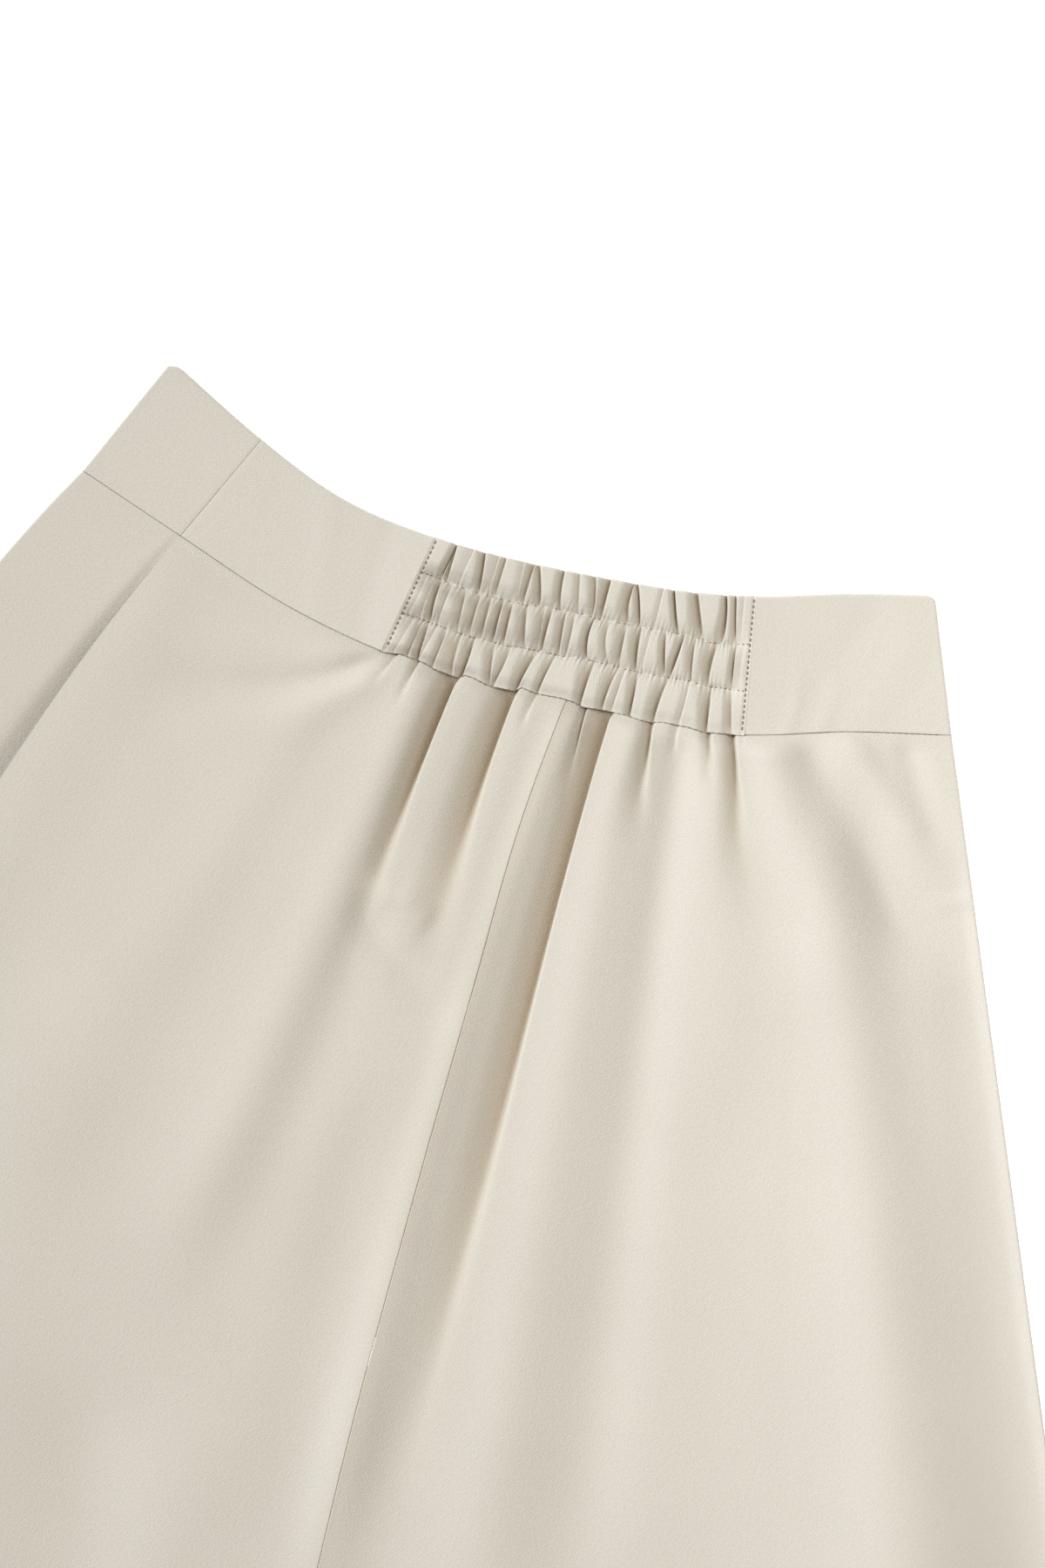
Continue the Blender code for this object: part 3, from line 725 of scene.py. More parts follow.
front_right_columns = np.hstack([
    inner_edge(1, RIGHT_EDGE, UNDER_MEETING, -4, -86, 8),
    between(np.linspace(CENTRE_BACK + 1, RIGHT_FOLD - 1, 24), (CENTRE_BACK, RIGHT_FOLD),
            (RIGHT_EDGE + FOLD_RADIUS, -FOLD_RADIUS), (UNDER_MEETING + FOLD_RADIUS, -FOLD_RADIUS), -90.0),
    soft_fold(RIGHT_FOLD, -1, -86, -4, 9),
])
front_right_points, front_right_painted_shade = leg_surface(front_right_columns, front_rows, back_right_height)

front_leg_left = cloth("crepe_front_leg_left", front_left_points, front_left_painted_shade, leg_crepe)
front_leg_right = cloth("crepe_front_leg_right", front_right_points, front_right_painted_shade, leg_crepe)
declare(front_leg_left, front_left_points, "front_leg_left")
declare(front_leg_right, front_right_points, "front_leg_right")


# ==============================================================================================
# The hems' stitching. Each leg's edge is turned up inside and held there by one row of beige
# polyester thread, lockstitched through the cloth. It shows on the three faces that lie on top.
# ==============================================================================================
HEM_DEPTH = 20.0            # the row runs this far above the edge
HEM_RISE = 0.05             # and its middle lies this far above the cloth's face
THREAD = 0.42               # width of a stitch
STITCH_SIDES = 6
# The rings of a stitch: where each lies along it, its radius, and how far it rises.
STITCH_ALONG = np.array([0.0, 0.15, 0.5, 0.85, 1.0])
STITCH_GIRTH = THREAD / 2 * np.array([0.25, 0.85, 1.0, 0.85, 0.25])
STITCH_RISE = np.array([-0.22, -0.02, 0.06, -0.02, -0.22])


def stitch_line(place, pitch, length):
    """Ends of the stitches along a line of points, spaced evenly by its own length."""
    travelled = np.concatenate([[0], np.linalg.norm(np.diff(place, axis=0), axis=1).cumsum()])
    middles = np.arange(pitch / 2, travelled[-1] - pitch / 2, pitch)
    ends = np.stack([middles - length / 2, middles + length / 2])
    return np.stack([np.interp(ends, travelled, place[:, axis]) for axis in range(3)], axis=-1)


def stitches(name, lines):
    """Joined stitches: each is a six-sided spindle between its ends, sunk at both of them.

    A point is start + share * run + aside * girth * cos(turn) + upward * (girth * sin(turn) + rise),
    with the turn round the ring, and aside and upward square to the stitch.
    """
    starts, stops = np.concatenate(lines, axis=1)
    run = stops - starts
    forward = run / np.linalg.norm(run, axis=1, keepdims=True)
    aside = np.cross(forward, [0.0, 0.0, 1.0])
    aside /= np.linalg.norm(aside, axis=1, keepdims=True)
    upward = np.cross(aside, forward)
    turn = np.arange(STITCH_SIDES) * 2 * pi / STITCH_SIDES
    out = STITCH_GIRTH[:, None] * np.cos(turn)
    up = STITCH_GIRTH[:, None] * np.sin(turn) + STITCH_RISE[:, None]
    points = starts[:, None, None] + run[:, None, None] * STITCH_ALONG[:, None, None]
    points = points + aside[:, None, None] * out[..., None] + upward[:, None, None] * up[..., None]
    index = np.arange(points[..., 0].size).reshape(points.shape[:3])
    rolled = np.roll(index, -1, axis=2)
    sides = np.stack([index[:, :-1], index[:, 1:], rolled[:, 1:], rolled[:, :-1]], axis=-1)
    caps = np.concatenate([index[:, 0], index[:, -1, ::-1]])
    piece = piece_of(name, points, sides.reshape(-1, 4).tolist() + caps.tolist(), thread)
    shape = bmesh.new()
    shape.from_mesh(piece.data)
    bmesh.ops.recalc_face_normals(shape, faces=shape.faces)
    shape.to_mesh(piece.data)
    shape.free()
    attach(piece, "root")
    return piece


def thread_finish_with_painted_shade(name):
    """Finish of the thread: a muted beige, its brown partly painted shade of the pits it lies in, with
    its twist as a fine, slanted bump.
    """
    finish = Finish(name)
    place = finish.node("TexCoord", {}, {}, output=3)
    twist = finish.node("TexWave", {"wave_type": "BANDS", "bands_direction": "DIAGONAL"},
                        {"Vector": place, "Scale": 900.0, "Distortion": 1.0}, output=1)
    # The brown is partly the thread's beige and partly painted shade of the pits the stitches sink into.
    tint = finish.node("CombineColor", {}, {"Red": 0.20 + twist * 0.06, "Green": 0.155 + twist * 0.05,
                                            "Blue": 0.11 + twist * 0.04})
    bump = finish.node("Bump", {}, {"Strength": 0.4, "Distance": 0.00008, "Height": twist})
    finish.feed(finish.shader, {"Base Color": tint, "Roughness": 0.62, "Normal": bump})
    return finish.material


def hem_stitch_line(points, rows, shown):
    """The row of stitches across the columns of a leg that are shown, HEM_DEPTH above its edge."""
    place = np.searchsorted(rows, LEG_LENGTH - HEM_DEPTH)
    return stitch_line(points[place, shown] + np.array([0.0, 0.0, HEM_RISE]), pitch=2.8, length=1.9)


thread = thread_finish_with_painted_shade("sewing_thread_with_painted_shade")
# The rows leave out the columns that turn down at the edges and those that lie underneath.
hem_stitches = stitches("stitches_of_the_hems", [
    hem_stitch_line(back_left_points, back_rows, slice(12, -6)),
    hem_stitch_line(back_right_points, back_rows, slice(12, -12)),
    hem_stitch_line(front_left_points, front_rows, slice(6, 36))])
declare(back_leg_left, back_left_points, "back_leg_left")


# ==============================================================================================
# The plain pieces of the waistband: a doubled, interfaced band of the same crepe, pressed flat.
# The front piece comes round the left fold as the leg does, and the back ones flank the elastic.
# Stitching in the ditch shows along the band's seam, from the elastic on to the right.
# ==============================================================================================
BAND_HEIGHT = 52.0          # from the band seam to the top edge
BAND_THICKNESS = 1.5
BAND_TURN = 1.3             # radius of the pressed top edge
BAND_LOFT = 5.4             # height of its face
END_RISE = 1.2              # how much higher the band stands at the elastic's ends,
RISE_REACH = 22.0           # and how far from them that dies out
CORNERS = {LEFT_FOLD: 6.0, RIGHT_FOLD: 4.0}     # radii of the top corners, at the folds
BUTT_STEPS = np.array([0.03, 0.08, 0.4])    # columns at the elastic's ends, where the cloth runs on
FIRST_CLEAR = 0.01          # share of the height between the turned foot and the first row above
CREASE_TAIL = 1 / 6         # share of the band's height over which a crease's ends die out
BAND_CREASE_COLUMNS = ("rib", "up", "end_rib", "end_up", "width", "height")
BAND_CREASES = {
    "left_ridge":      (-128, 0.95, -108, 0.10, 7.0, 0.25),
    "left_hollow":     (-98, 0.90, -90, 0.05, 6.0, -0.30),
    "right_ridge":     (84, 0.02, 87, 0.22, 3.0, 0.30),
    "right_ridge_two": (97, 0.03, 101, 0.25, 3.5, 0.30),
    "right_hollow":    (120, 0.95, 96, 0.30, 9.0, -0.35),
    "right_swell":     (112, 0.05, 136, 0.70, 9.0, 0.30),
}


def band_plan(rib, up):
    """Plan place on a rib in the band: up is 0 at the band seam and 1 at the top edge."""
    seam_x, seam_y = rib_value("seam_x", rib), rib_value("seam_y", rib)
    top_x, top_y = rib_value("top_x", rib), rib_value("top_y", rib)
    lift = seam_wave(rib) * np.exp(-up * BAND_HEIGHT / WAVE_REACH)
    return mix(seam_x, top_x, up), mix(seam_y, top_y, up) + lift


def band_relief(rib, up):
    """The pressed band's faint waves: bells across short lines, in millimetres of height."""
    relief = np.zeros_like(rib)
    for crease in rows_of(BAND_CREASES, BAND_CREASE_COLUMNS):
        low, high = sorted((crease["up"], crease["end_up"]))
        t = np.clip((up - crease["up"]) / (crease["end_up"] - crease["up"]), 0, 1)
        line = mix(crease["rib"], crease["end_rib"], t)
        ends = bell(up - np.clip(up, low, high), CREASE_TAIL)
        relief += crease["height"] * bell(rib - line, crease["width"]) * ends
    return relief


def band_surface(columns, rows, height):
    """Points of a band piece, with a row of them at each share of the band's height, and the shade
    painted on each one. Near a fold the top edge is drawn down, most at the fold, to round the corner.
    """
    up = np.broadcast_to(rows[:, None], (len(rows), columns.shape[1]))
    rib, inset, angle = (np.broadcast_to(column, up.shape) for column in columns[:3])
    rib = beside(rib, inset, band_plan, up)
    for fold, radius in CORNERS.items():
        x, y = band_plan(rib, up)
        short = np.clip(1 - away_from(fold, x, y, up, band_plan) / radius, 0, 1)
        up = up * (1 - radius / 2 * short ** 2 / BAND_HEIGHT)
    top, shift, painted_shade = height(rib, up)
    x, y = band_plan(rib + shift, up)
    top = top - turned_edge((1 - rows[:, None]) * BAND_HEIGHT, BAND_TURN)
    top = top - turned_edge(up * BAND_HEIGHT - SEAM_GAP / 2)
    return on_tube(x, y, top, angle), painted_shade


def plain_band_height(rib, up):
    """Height of the pressed band's face, which rises towards the elastic. It has no folds."""
    away = np.maximum(ELASTIC_LEFT - rib, rib - ELASTIC_RIGHT)
    height = BAND_LOFT + END_RISE * np.exp(-np.maximum(away, 0) / RISE_REACH) + band_relief(rib, up)
    return height, 0.0, np.zeros_like(rib)


def band_rows(count):
    """Shares of the band's height from the top edge to the seam, closer where the edges turn."""
    top = 1 - turn_steps(BAND_TURN, TURN_STEPS + 1)[:-1] / BAND_HEIGHT
    foot = EDGE_STEPS[::-1] / BAND_HEIGHT
    level = np.linspace(1 - BAND_TURN / BAND_HEIGHT, foot[0] + FIRST_CLEAR, count)
    return np.concatenate([top, level, foot])


band_crepe = crepe("cream_crepe_of_the_waistband")
plain_rows = band_rows(40)
band_right_columns = np.hstack([
    soft_fold(RIGHT_FOLD, -1, 4, 86, 9),
    between(np.linspace(RIGHT_FOLD - 0.5, ELASTIC_RIGHT + 2, 64), (ELASTIC_RIGHT, RIGHT_FOLD),
            (0.0, -FOLD_RADIUS)),
    columns_of(ELASTIC_RIGHT, BUTT_STEPS[::-1]),
])
band_left_columns = np.hstack([
    columns_of(ELASTIC_LEFT, -BUTT_STEPS),
    columns_of(np.linspace(ELASTIC_LEFT - 2, SIDE_SEAM + 2, 70)),
    columns_of(SIDE_SEAM, EDGE_STEPS[::-1]),
])
band_front_columns = np.hstack([
    columns_of(SIDE_SEAM, -EDGE_STEPS),
    between(np.linspace(SIDE_SEAM - 2, LEFT_FOLD + 0.5, 28), (LEFT_FOLD, SIDE_SEAM), (FOLD_RADIUS, 0.0)),
    soft_fold(LEFT_FOLD, 1, 86, -86, 19),
    between(np.linspace(LEFT_FOLD + 1, RIGHT_FOLD - 1, 60), (LEFT_FOLD, RIGHT_FOLD),
            (FOLD_RADIUS, -FOLD_RADIUS), angle=-90.0),
    soft_fold(RIGHT_FOLD, -1, -86, -4, 9),
])


def plain_band(name, columns):
    """A plain piece of the band, with the edges turned down that are sewn at the side seam."""
    points, painted_shade = band_surface(columns, plain_rows, plain_band_height)
    sewn = (columns[0] == SIDE_SEAM) & (columns[1] != 0)
    fall = np.where(sewn, turned_edge(np.abs(columns[1]) - SEAM_GAP / 2), 0.0)
    points[..., 2] -= fall
    return cloth(name, points, painted_shade, band_crepe, BAND_THICKNESS), points


band_right, band_right_points = plain_band("crepe_band_right", band_right_columns)
band_left, band_left_points = plain_band("crepe_band_left", band_left_columns)
band_front, band_front_points = plain_band("crepe_band_front", band_front_columns)

DITCH_CLEAR = 4.0           # the stitching ends this far before the right fold
DITCH_AT_ELASTIC = 5.55     # its height where the gathers press against it,
DITCH_BESIDE = 5.15         # and under the plain piece
seam_ribs = np.linspace(ELASTIC_LEFT, RIGHT_FOLD - DITCH_CLEAR, 1200)
seam_x, seam_y = leg_plan(seam_ribs, np.zeros_like(seam_ribs))
seam_z = np.where(seam_ribs < ELASTIC_RIGHT, DITCH_AT_ELASTIC, DITCH_BESIDE)
ditch = stitch_line(np.stack([seam_x, seam_y, seam_z], axis=-1), pitch=2.4, length=1.7)
seam_stitches = stitches("stitches_of_the_band_seam", [ditch])

declare(band_right, band_right_points, "back_waistband_right")
declare(band_left, band_left_points, "back_waistband_left")
declare(band_front, band_front_points, "front_waistband")


# ==============================================================================================
# The elastic: the middle of the back band, a wide elastic inside a casing of the same crepe. Two
# rows of beige stitching hold it in three channels, and one at each end. The cloth stands up in
# puckers between them.
# ==============================================================================================
ELASTIC_WIDTH = ELASTIC_RIGHT - ELASTIC_LEFT
# Where the two rows of stitches run: shares of the elastic's width, and of the band's height there.
ROW_SHARES = (0.0, 0.05, 0.1, 0.2, 0.3, 0.36, 0.45, 0.5, 0.6, 0.66, 0.75, 0.83, 0.87, 0.93, 1.0)
UPPER_ROW = (0.70, 0.70, 0.685, 0.67, 0.67, 0.69, 0.69, 0.675, 0.68, 0.675, 0.68, 0.665, 0.645,
             0.645, 0.65)
LOWER_ROW = (0.34, 0.345, 0.34, 0.325, 0.325, 0.34, 0.335, 0.35, 0.345, 0.34, 0.345, 0.345, 0.33,
             0.325, 0.31)
END_STITCH = 1.2            # the rows of stitches at both ends run this far inside the elastic
ROW_HEIGHT = 3.7            # height of the face where a row of stitches holds it down
PUFF = 3.3                  # and how much more it stands between the rows
STITCH_DIP = 0.55           # how far a row of stitches sinks into the cloth,
DIP_WIDTH = 0.8             # over what width,
END_DIP_WIDTH = 0.7         # and over what width at the ends
END_SLOPE = 9.0             # the height goes over to the plain band's this near to an end,
END_SHIFT = 4.0             # and the puckers lie less far over their hollows this near to it
ROW_CALM = 0.06             # or within this share of the band's height of a row or the seam
TOP_FULL = 0.45             # the upper channel is fully puffed from this share of its height up
SEAM_PUFF = 0.62            # the lower one is held down to this share at the seam
SEAM_HOLD = 0.3             # and up to this share of its height
HOLLOW_SCALE = 1.25         # the hollows' depths below are for cloth that puffs less
# A hollow's painted shade, the darkening of its colour, keeps a share at a row and is full at
# DEEP_HOLLOW.
FLAT_HOLLOW = 0.2           # share of its depth that a hollow keeps at a row of stitches,
FLAT_PAINTED_SHADE = 0.3          # and share of its dimness
DEEP_HOLLOW = 3.0           # a hollow this deep is as dim as any
HOLLOW_POWER = 1.3          # how late cloth slopes down into a hollow
# Shares of the elastic's width: how softly that slope starts, how abruptly a pucker ends over the
# hollow on its left, how far it lies over it, how far from its edge that dies out, and how much
# earlier the pucker before it rolls down into the hollow.
HOLLOW_SOFT = 0.005
PUCKER_EDGE = 0.0014
PUCKER_OVERLAP = 0.0042
PUCKER_REACH = 0.010
PUCKER_ROLL = 0.016
# The small pleats along a row of stitches, as waves over the elastic's width in radians: their
# own, one that bends it, and one that swells it.
PLEATS, PLEAT_BEND, PLEAT_SWELL = 410, 61, 173
PLEAT_HEIGHT = 0.45
PLEAT_REACH = 2.0           # how far from the row they die out

# The hollows between the puckers, channel by channel. Edges are shares of the elastic's width at
# the channel's head and foot, and bow moves the middle to the right.
HOLLOW_COLUMNS = ("head_left", "head_right", "foot_left", "foot_right", "bow", "depth")
TOP_HOLLOWS = (
    (0.068, 0.071, 0.055, 0.067, 0.0, 2.6),
    (0.070, 0.073, 0.075, 0.085, 0.0, 2.4),
    (0.104, 0.118, 0.104, 0.116, 0.0, 0.8),
    (0.137, 0.147, 0.163, 0.175, 0.002, 2.8),
    (0.168, 0.185, 0.186, 0.200, 0.0, 1.2),
    (0.199, 0.204, 0.207, 0.220, 0.0, 2.0),
    (0.242, 0.250, 0.270, 0.278, 0.0, 1.0),
    (0.262, 0.277, 0.283, 0.294, 0.0, 2.4),
    (0.281, 0.290, 0.324, 0.338, 0.003, 2.6),
    (0.346, 0.357, 0.378, 0.392, -0.004, 2.5),
    (0.389, 0.397, 0.430, 0.441, 0.0, 1.6),
    (0.424, 0.441, 0.473, 0.484, 0.004, 2.2),
    (0.462, 0.487, 0.490, 0.510, 0.0, 3.0),
    (0.539, 0.566, 0.566, 0.598, -0.012, 2.6),
    (0.567, 0.573, 0.616, 0.633, 0.003, 2.8),
    (0.660, 0.664, 0.668, 0.680, 0.0, 0.9),
    (0.693, 0.706, 0.750, 0.763, 0.0, 3.1),
    (0.762, 0.795, 0.800, 0.849, 0.002, 3.0),
    (0.893, 0.903, 0.877, 0.911, 0.008, 3.0),
    (0.931, 0.937, 0.944, 0.954, 0.0, 2.4),
    (0.962, 0.966, 0.960, 0.968, 0.0, 0.8),
)
MIDDLE_HOLLOWS = (
    (0.016, 0.028, 0.018, 0.026, 0.004, 0.9),
    (0.051, 0.053, 0.052, 0.058, 0.0, 1.2),
    (0.063, 0.071, 0.077, 0.091, -0.003, 3.0),
    (0.091, 0.101, 0.102, 0.109, 0.0, 1.4),
    (0.120, 0.141, 0.148, 0.166, 0.001, 2.0),
    (0.163, 0.181, 0.175, 0.200, 0.0, 2.2),
    (0.194, 0.211, 0.216, 0.233, 0.0, 2.3),
    (0.235, 0.243, 0.251, 0.266, -0.001, 2.9),
    (0.257, 0.268, 0.281, 0.294, 0.0, 2.6),
    (0.291, 0.306, 0.330, 0.350, -0.002, 2.4),
    (0.334, 0.351, 0.372, 0.384, 0.0, 2.0),
    (0.363, 0.372, 0.388, 0.397, -0.001, 2.8),
    (0.393, 0.408, 0.430, 0.443, 0.0, 2.4),
    (0.424, 0.433, 0.452, 0.462, 0.003, 1.8),
    (0.481, 0.491, 0.505, 0.522, -0.008, 3.2),
    (0.524, 0.538, 0.574, 0.586, -0.012, 1.8),
    (0.564, 0.591, 0.597, 0.616, -0.001, 2.3),
    (0.608, 0.639, 0.656, 0.669, -0.003, 3.0),
    (0.664, 0.672, 0.680, 0.684, 0.0, 0.8),
    (0.709, 0.721, 0.742, 0.758, -0.002, 2.6),
    (0.766, 0.784, 0.758, 0.771, 0.002, 3.2),
    (0.797, 0.824, 0.824, 0.836, -0.002, 2.2),
    (0.853, 0.898, 0.862, 0.888, -0.005, 2.9),
    (0.949, 0.956, 0.950, 0.957, -0.002, 2.6),
    (0.960, 0.978, 0.968, 0.974, 0.0, 1.2),
)
BOTTOM_HOLLOWS = (
    (0.033, 0.046, 0.030, 0.034, 0.0, 0.8),
    (0.069, 0.070, 0.064, 0.073, 0.0, 1.9),
    (0.071, 0.088, 0.095, 0.103, 0.0, 3.1),
    (0.104, 0.112, 0.106, 0.107, 0.0, 1.0),
    (0.139, 0.140, 0.137, 0.146, 0.0, 2.0),
    (0.147, 0.181, 0.163, 0.203, -0.004, 2.2),
    (0.199, 0.215, 0.213, 0.229, 0.003, 3.2),
    (0.253, 0.272, 0.294, 0.309, -0.003, 2.2),
    (0.298, 0.315, 0.307, 0.317, 0.003, 2.2),
    (0.352, 0.388, 0.366, 0.381, -0.003, 3.1),
    (0.419, 0.436, 0.429, 0.437, -0.002, 2.4),
    (0.507, 0.544, 0.543, 0.556, -0.001, 3.1),
    (0.584, 0.616, 0.604, 0.616, -0.004, 2.6),
    (0.634, 0.636, 0.632, 0.641, 0.0, 1.4),
    (0.656, 0.675, 0.682, 0.692, 0.002, 2.9),
    (0.735, 0.769, 0.737, 0.758, -0.004, 3.1),
    (0.822, 0.831, 0.815, 0.824, 0.002, 1.3),
    (0.863, 0.897, 0.885, 0.902, 0.001, 3.1),
    (0.942, 0.954, 0.951, 0.967, 0.001, 2.5),
)


def hollows(share, t, table):
    """Depth of a channel's hollows, the shift of its puckers in shares of the width, and the shade
    painted into them.

    t runs from 0 at the channel's foot to 1 at its head.
    """
    depth, shift, painted_shade = np.zeros_like(share), np.zeros_like(share), np.zeros_like(share)
    for row in table:
        part = dict(zip(HOLLOW_COLUMNS, row))
        sway = part["bow"] * 4 * t * (1 - t)
        left = mix(part["foot_left"], part["head_left"], t) + sway - PUCKER_ROLL
        right = mix(part["foot_right"], part["head_right"], t) + sway
        sunk, after = hollow(share, left, right, HOLLOW_POWER, HOLLOW_SOFT, PUCKER_EDGE)
        depth = np.maximum(depth, part["depth"] * sunk)
        # Painted shade: the hollow's colour is darkened, more where it is deeper.
        painted_shade = np.maximum(painted_shade, sunk * ease(part["depth"] / DEEP_HOLLOW))
        shift -= PUCKER_OVERLAP * after * np.exp(-np.maximum(share - right, 0) / PUCKER_REACH)
    return np.stack([depth, shift, painted_shade])


def row_up(share, row):
    """Where a row of stitches runs, as a share of the band's height."""
    return np.interp(share, ROW_SHARES, row)


def arches(top_t, middle_t, bottom_t, in_top, in_bottom):
    """How far the cloth puffs up, from 0 at a row to 1, by the height in each channel, 0 to 1.

    A half sine ** 0.6 in the middle channel; a quarter sine ** 0.7 that stays at 1 in the upper
    one; and in the lower one a quarter cosine ** 0.7, which is held down at the seam.
    """
    middle = np.sin(pi * middle_t) ** 0.6
    top = np.sin(pi / 2 * np.clip(top_t / TOP_FULL, 0, 1)) ** 0.7
    bottom = np.cos(pi / 2 * bottom_t ** 1.6) ** 0.7 * mix(SEAM_PUFF, 1, ease(bottom_t / SEAM_HOLD))
    return np.where(in_bottom, bottom, np.where(in_top, top, middle))


def pleats(share, away, turn):
    """Height of the small pleats at a distance from a row: a wave that a longer one bends and
    another one swells. Turn tells the rows' waves apart.
    """
    wave = np.sin(share * PLEATS + turn + 2.2 * np.sin(share * PLEAT_BEND + turn))
    swell = 0.55 + 0.45 * np.sin(share * PLEAT_SWELL + 2 * turn)
    return PLEAT_HEIGHT * wave * swell * np.exp(-away / PLEAT_REACH)


def elastic_height(share, up):
    """Height of the casing's face, low at the rows and puffed between them, its puckers' shift
    and the shade painted into its hollows.
    """
    upper_row, lower_row = row_up(share, UPPER_ROW), row_up(share, LOWER_ROW)
    top_t = np.clip((up - upper_row) / (1 - upper_row), 0, 1)
    middle_t = np.clip((up - lower_row) / (upper_row - lower_row), 0, 1)
    bottom_t = np.clip(up / lower_row, 0, 1)
    in_top, in_bottom = up > upper_row, up < lower_row
    arch = arches(top_t, middle_t, bottom_t, in_top, in_bottom)
    found = np.where(in_bottom, hollows(share, bottom_t, BOTTOM_HOLLOWS),
                     hollows(share, middle_t, MIDDLE_HOLLOWS))
    depth, shift, painted_shade = np.where(in_top, hollows(share, top_t, TOP_HOLLOWS), found)
    for line in (upper_row, lower_row, 0.0):
        shift = shift * ease(np.abs(up - line) / ROW_CALM)
    height = ROW_HEIGHT + PUFF * arch
    height = height - HOLLOW_SCALE * depth * mix(FLAT_HOLLOW, 1, arch)
    for row, turn in ((upper_row, 0.0), (lower_row, 1.7)):
        away = np.abs(up - row) * BAND_HEIGHT
        height = height + pleats(share, away, turn) - STITCH_DIP * bell(away, DIP_WIDTH)
    inside = np.minimum(share, 1 - share) * ELASTIC_WIDTH
    height = mix(BAND_LOFT + END_RISE, height, ease(inside / END_SLOPE))
    height = height - STITCH_DIP / 2 * bell(inside - END_STITCH, END_DIP_WIDTH)
    return height, shift * arch * ease(inside / END_SHIFT), painted_shade * mix(FLAT_PAINTED_SHADE, 1, arch)


def elastic_face(rib, up):
    """The same by rib, with the shift in millimetres."""
    height, shift, painted_shade = elastic_height(share_of_elastic(rib), up)
    return above_under_layer(height), shift * ELASTIC_WIDTH, painted_shade


BUTT_CLEAR = 0.8            # between the elastic's ends and its first and last even column
elastic_columns = np.hstack([
    columns_of(ELASTIC_RIGHT, -BUTT_STEPS),
    columns_of(np.linspace(ELASTIC_RIGHT - BUTT_CLEAR, ELASTIC_LEFT + BUTT_CLEAR, 490)),
    columns_of(ELASTIC_LEFT, BUTT_STEPS[::-1]),
])
elastic_rows = band_rows(82)
elastic_points, elastic_painted_shade = band_surface(elastic_columns, elastic_rows, elastic_face)

# The top edge is drawn down at each hollow and stands a little higher between them.
EDGE_STARTS = 0.85          # share of the band's height from which this grows
EDGE_LIFT = 0.15
EDGE_DRAW = 0.16            # for each millimetre of a hollow's depth
head_share = share_of_elastic(elastic_columns[0])
hollow_depth = hollows(head_share, np.ones_like(head_share), TOP_HOLLOWS)[0]
near_top = ease((elastic_rows - EDGE_STARTS) / (1 - EDGE_STARTS))
elastic_points[..., 1] += near_top[:, None] * (EDGE_LIFT - EDGE_DRAW * hollow_depth)
elastic = cloth("crepe_band_elastic", elastic_points, elastic_painted_shade, band_crepe)

STITCH_LIFT = 0.25          # the middle of a stitch lies this far above the casing's face
ROW_CLEAR = 0.006           # share of the elastic's width that a row leaves free at its ends
END_CLEAR = 0.02            # share of the band's height that a row at an end leaves free


def on_elastic(share, up):
    """Points STITCH_LIFT above the casing's face."""
    share, up = np.broadcast_arrays(np.asarray(share, dtype=float), np.asarray(up, dtype=float))
    x, y = band_plan(ELASTIC_LEFT + share * ELASTIC_WIDTH, up)
    return np.stack([x, y, above_under_layer(elastic_height(share, up)[0]) + STITCH_LIFT], axis=-1)


across = np.linspace(ROW_CLEAR, 1 - ROW_CLEAR, 900)
downward = np.linspace(1 - END_CLEAR, END_CLEAR, 300)
end_share = END_STITCH / ELASTIC_WIDTH
elastic_stitches = stitches("stitches_of_the_elastic", [
    stitch_line(on_elastic(across, row_up(across, row)), pitch=2.0, length=1.25)
    for row in (UPPER_ROW, LOWER_ROW)] + [
    stitch_line(on_elastic(end, downward), pitch=2.2, length=1.5)
    for end in (end_share, 1 - end_share)])
declare(elastic, elastic_points, "back_waistband_elastic")


# ==============================================================================================
# The white table that the garment lies on, the low, soft light from its left with a weaker one
# from its right, and the camera straight above.
# ==============================================================================================
VIEW_TURN = 16.5            # degrees from the garment's Y axis to the view's upright
VIEW_CENTRE = (-10.8, -36.3)
FRAME_HEIGHT = 621.0        # how much of the table the view takes in, in millimetres
LENS = 85.0
SENSOR = 36.0

TABLE_HALF = 4.0            # metres, as is TABLE_TOP, just under the cloth
TABLE_TOP = -0.0003

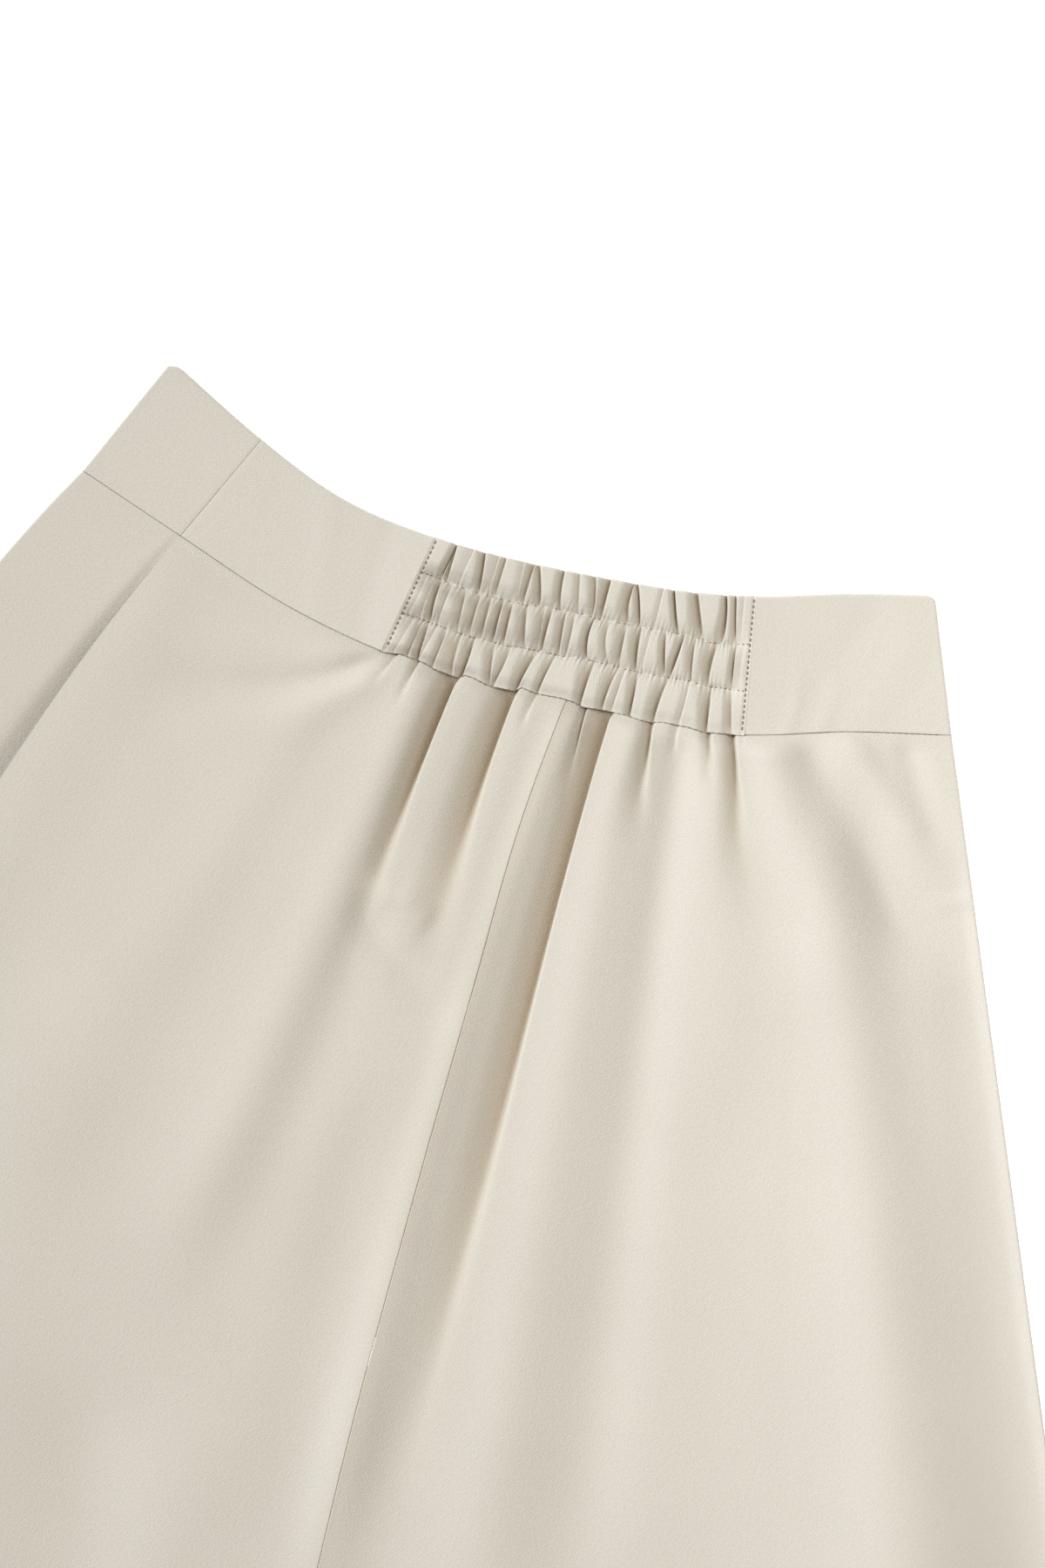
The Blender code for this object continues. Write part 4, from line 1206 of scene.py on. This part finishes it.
corners = [(-1, -1), (1, -1), (1, 1), (-1, 1)]
table = bpy.data.meshes.new("floor")
table.from_pydata([(x * TABLE_HALF, y * TABLE_HALF, TABLE_TOP) for x, y in corners], [], [(0, 1, 2, 3)])
white = Finish("white_table")
white.feed(white.shader, {"Base Color": (0.92, 0.92, 0.915, 1.0), "Roughness": 0.9,
                          "Emission Color": (1.0, 1.0, 1.0, 1.0), "Emission Strength": 1.5})
table.materials.append(white.material)
floor = bpy.data.objects.new("floor", table)
bpy.context.scene.collection.objects.link(floor)

turn = radians(VIEW_TURN)
right_of_view = np.array([cos(turn), sin(turn), 0.0])
up_of_view = np.array([-sin(turn), cos(turn), 0.0])
centre = (np.array([*VIEW_CENTRE, LOFT]) + ZERO) * MM


def towards_light(aside, upward, elevation):
    """Unit vector to a light, from its shares to the right and up the camera's view and its
    elevation over the table in degrees.
    """
    level = aside * right_of_view + upward * up_of_view
    level /= np.linalg.norm(level)
    return level * cos(radians(elevation)) + np.array([0.0, 0.0, sin(radians(elevation))])


def light(name, kind, away, distance, power, colour, **sizes):
    """A lamp at a distance along a direction, turned to the centre of the view."""
    lamp = bpy.data.lights.new(name, kind)
    lamp.energy = power
    lamp.color = colour
    for size, value in sizes.items():
        setattr(lamp, size, value)
    made = bpy.data.objects.new(name, lamp)
    made.location = centre + away * distance
    made.rotation_euler = Vector(away).to_track_quat("Z", "Y").to_euler()
    bpy.context.scene.collection.objects.link(made)


light("key_from_the_left", "SUN", towards_light(-1.0, 0.35, elevation=32.0), distance=3.0,
      power=2.5, colour=(1.0, 1.0, 1.0), angle=radians(20))
light("softbox_above", "AREA", towards_light(1.0, 0.0, elevation=52.0), distance=0.6,
      power=1.2, colour=(1.0, 0.97, 0.92), shape="SQUARE", size=0.45)
world = bpy.data.worlds.new("studio")
world.use_nodes = True
world.node_tree.nodes["Background"].inputs["Color"].default_value = (1.0, 0.88, 0.74, 1.0)
world.node_tree.nodes["Background"].inputs["Strength"].default_value = 0.41
bpy.context.scene.world = world
bpy.context.scene.view_settings.view_transform = "Standard"

lens = bpy.data.cameras.new("camera_above")
lens.lens = LENS
lens.sensor_width = SENSOR
camera = bpy.data.objects.new("camera_above", lens)
camera.location = centre + np.array([0.0, 0.0, FRAME_HEIGHT * MM * LENS / SENSOR])
camera.rotation_euler = (0.0, 0.0, turn)
bpy.context.scene.collection.objects.link(camera)
bpy.context.scene.camera = camera

bpy.context.view_layer.update()
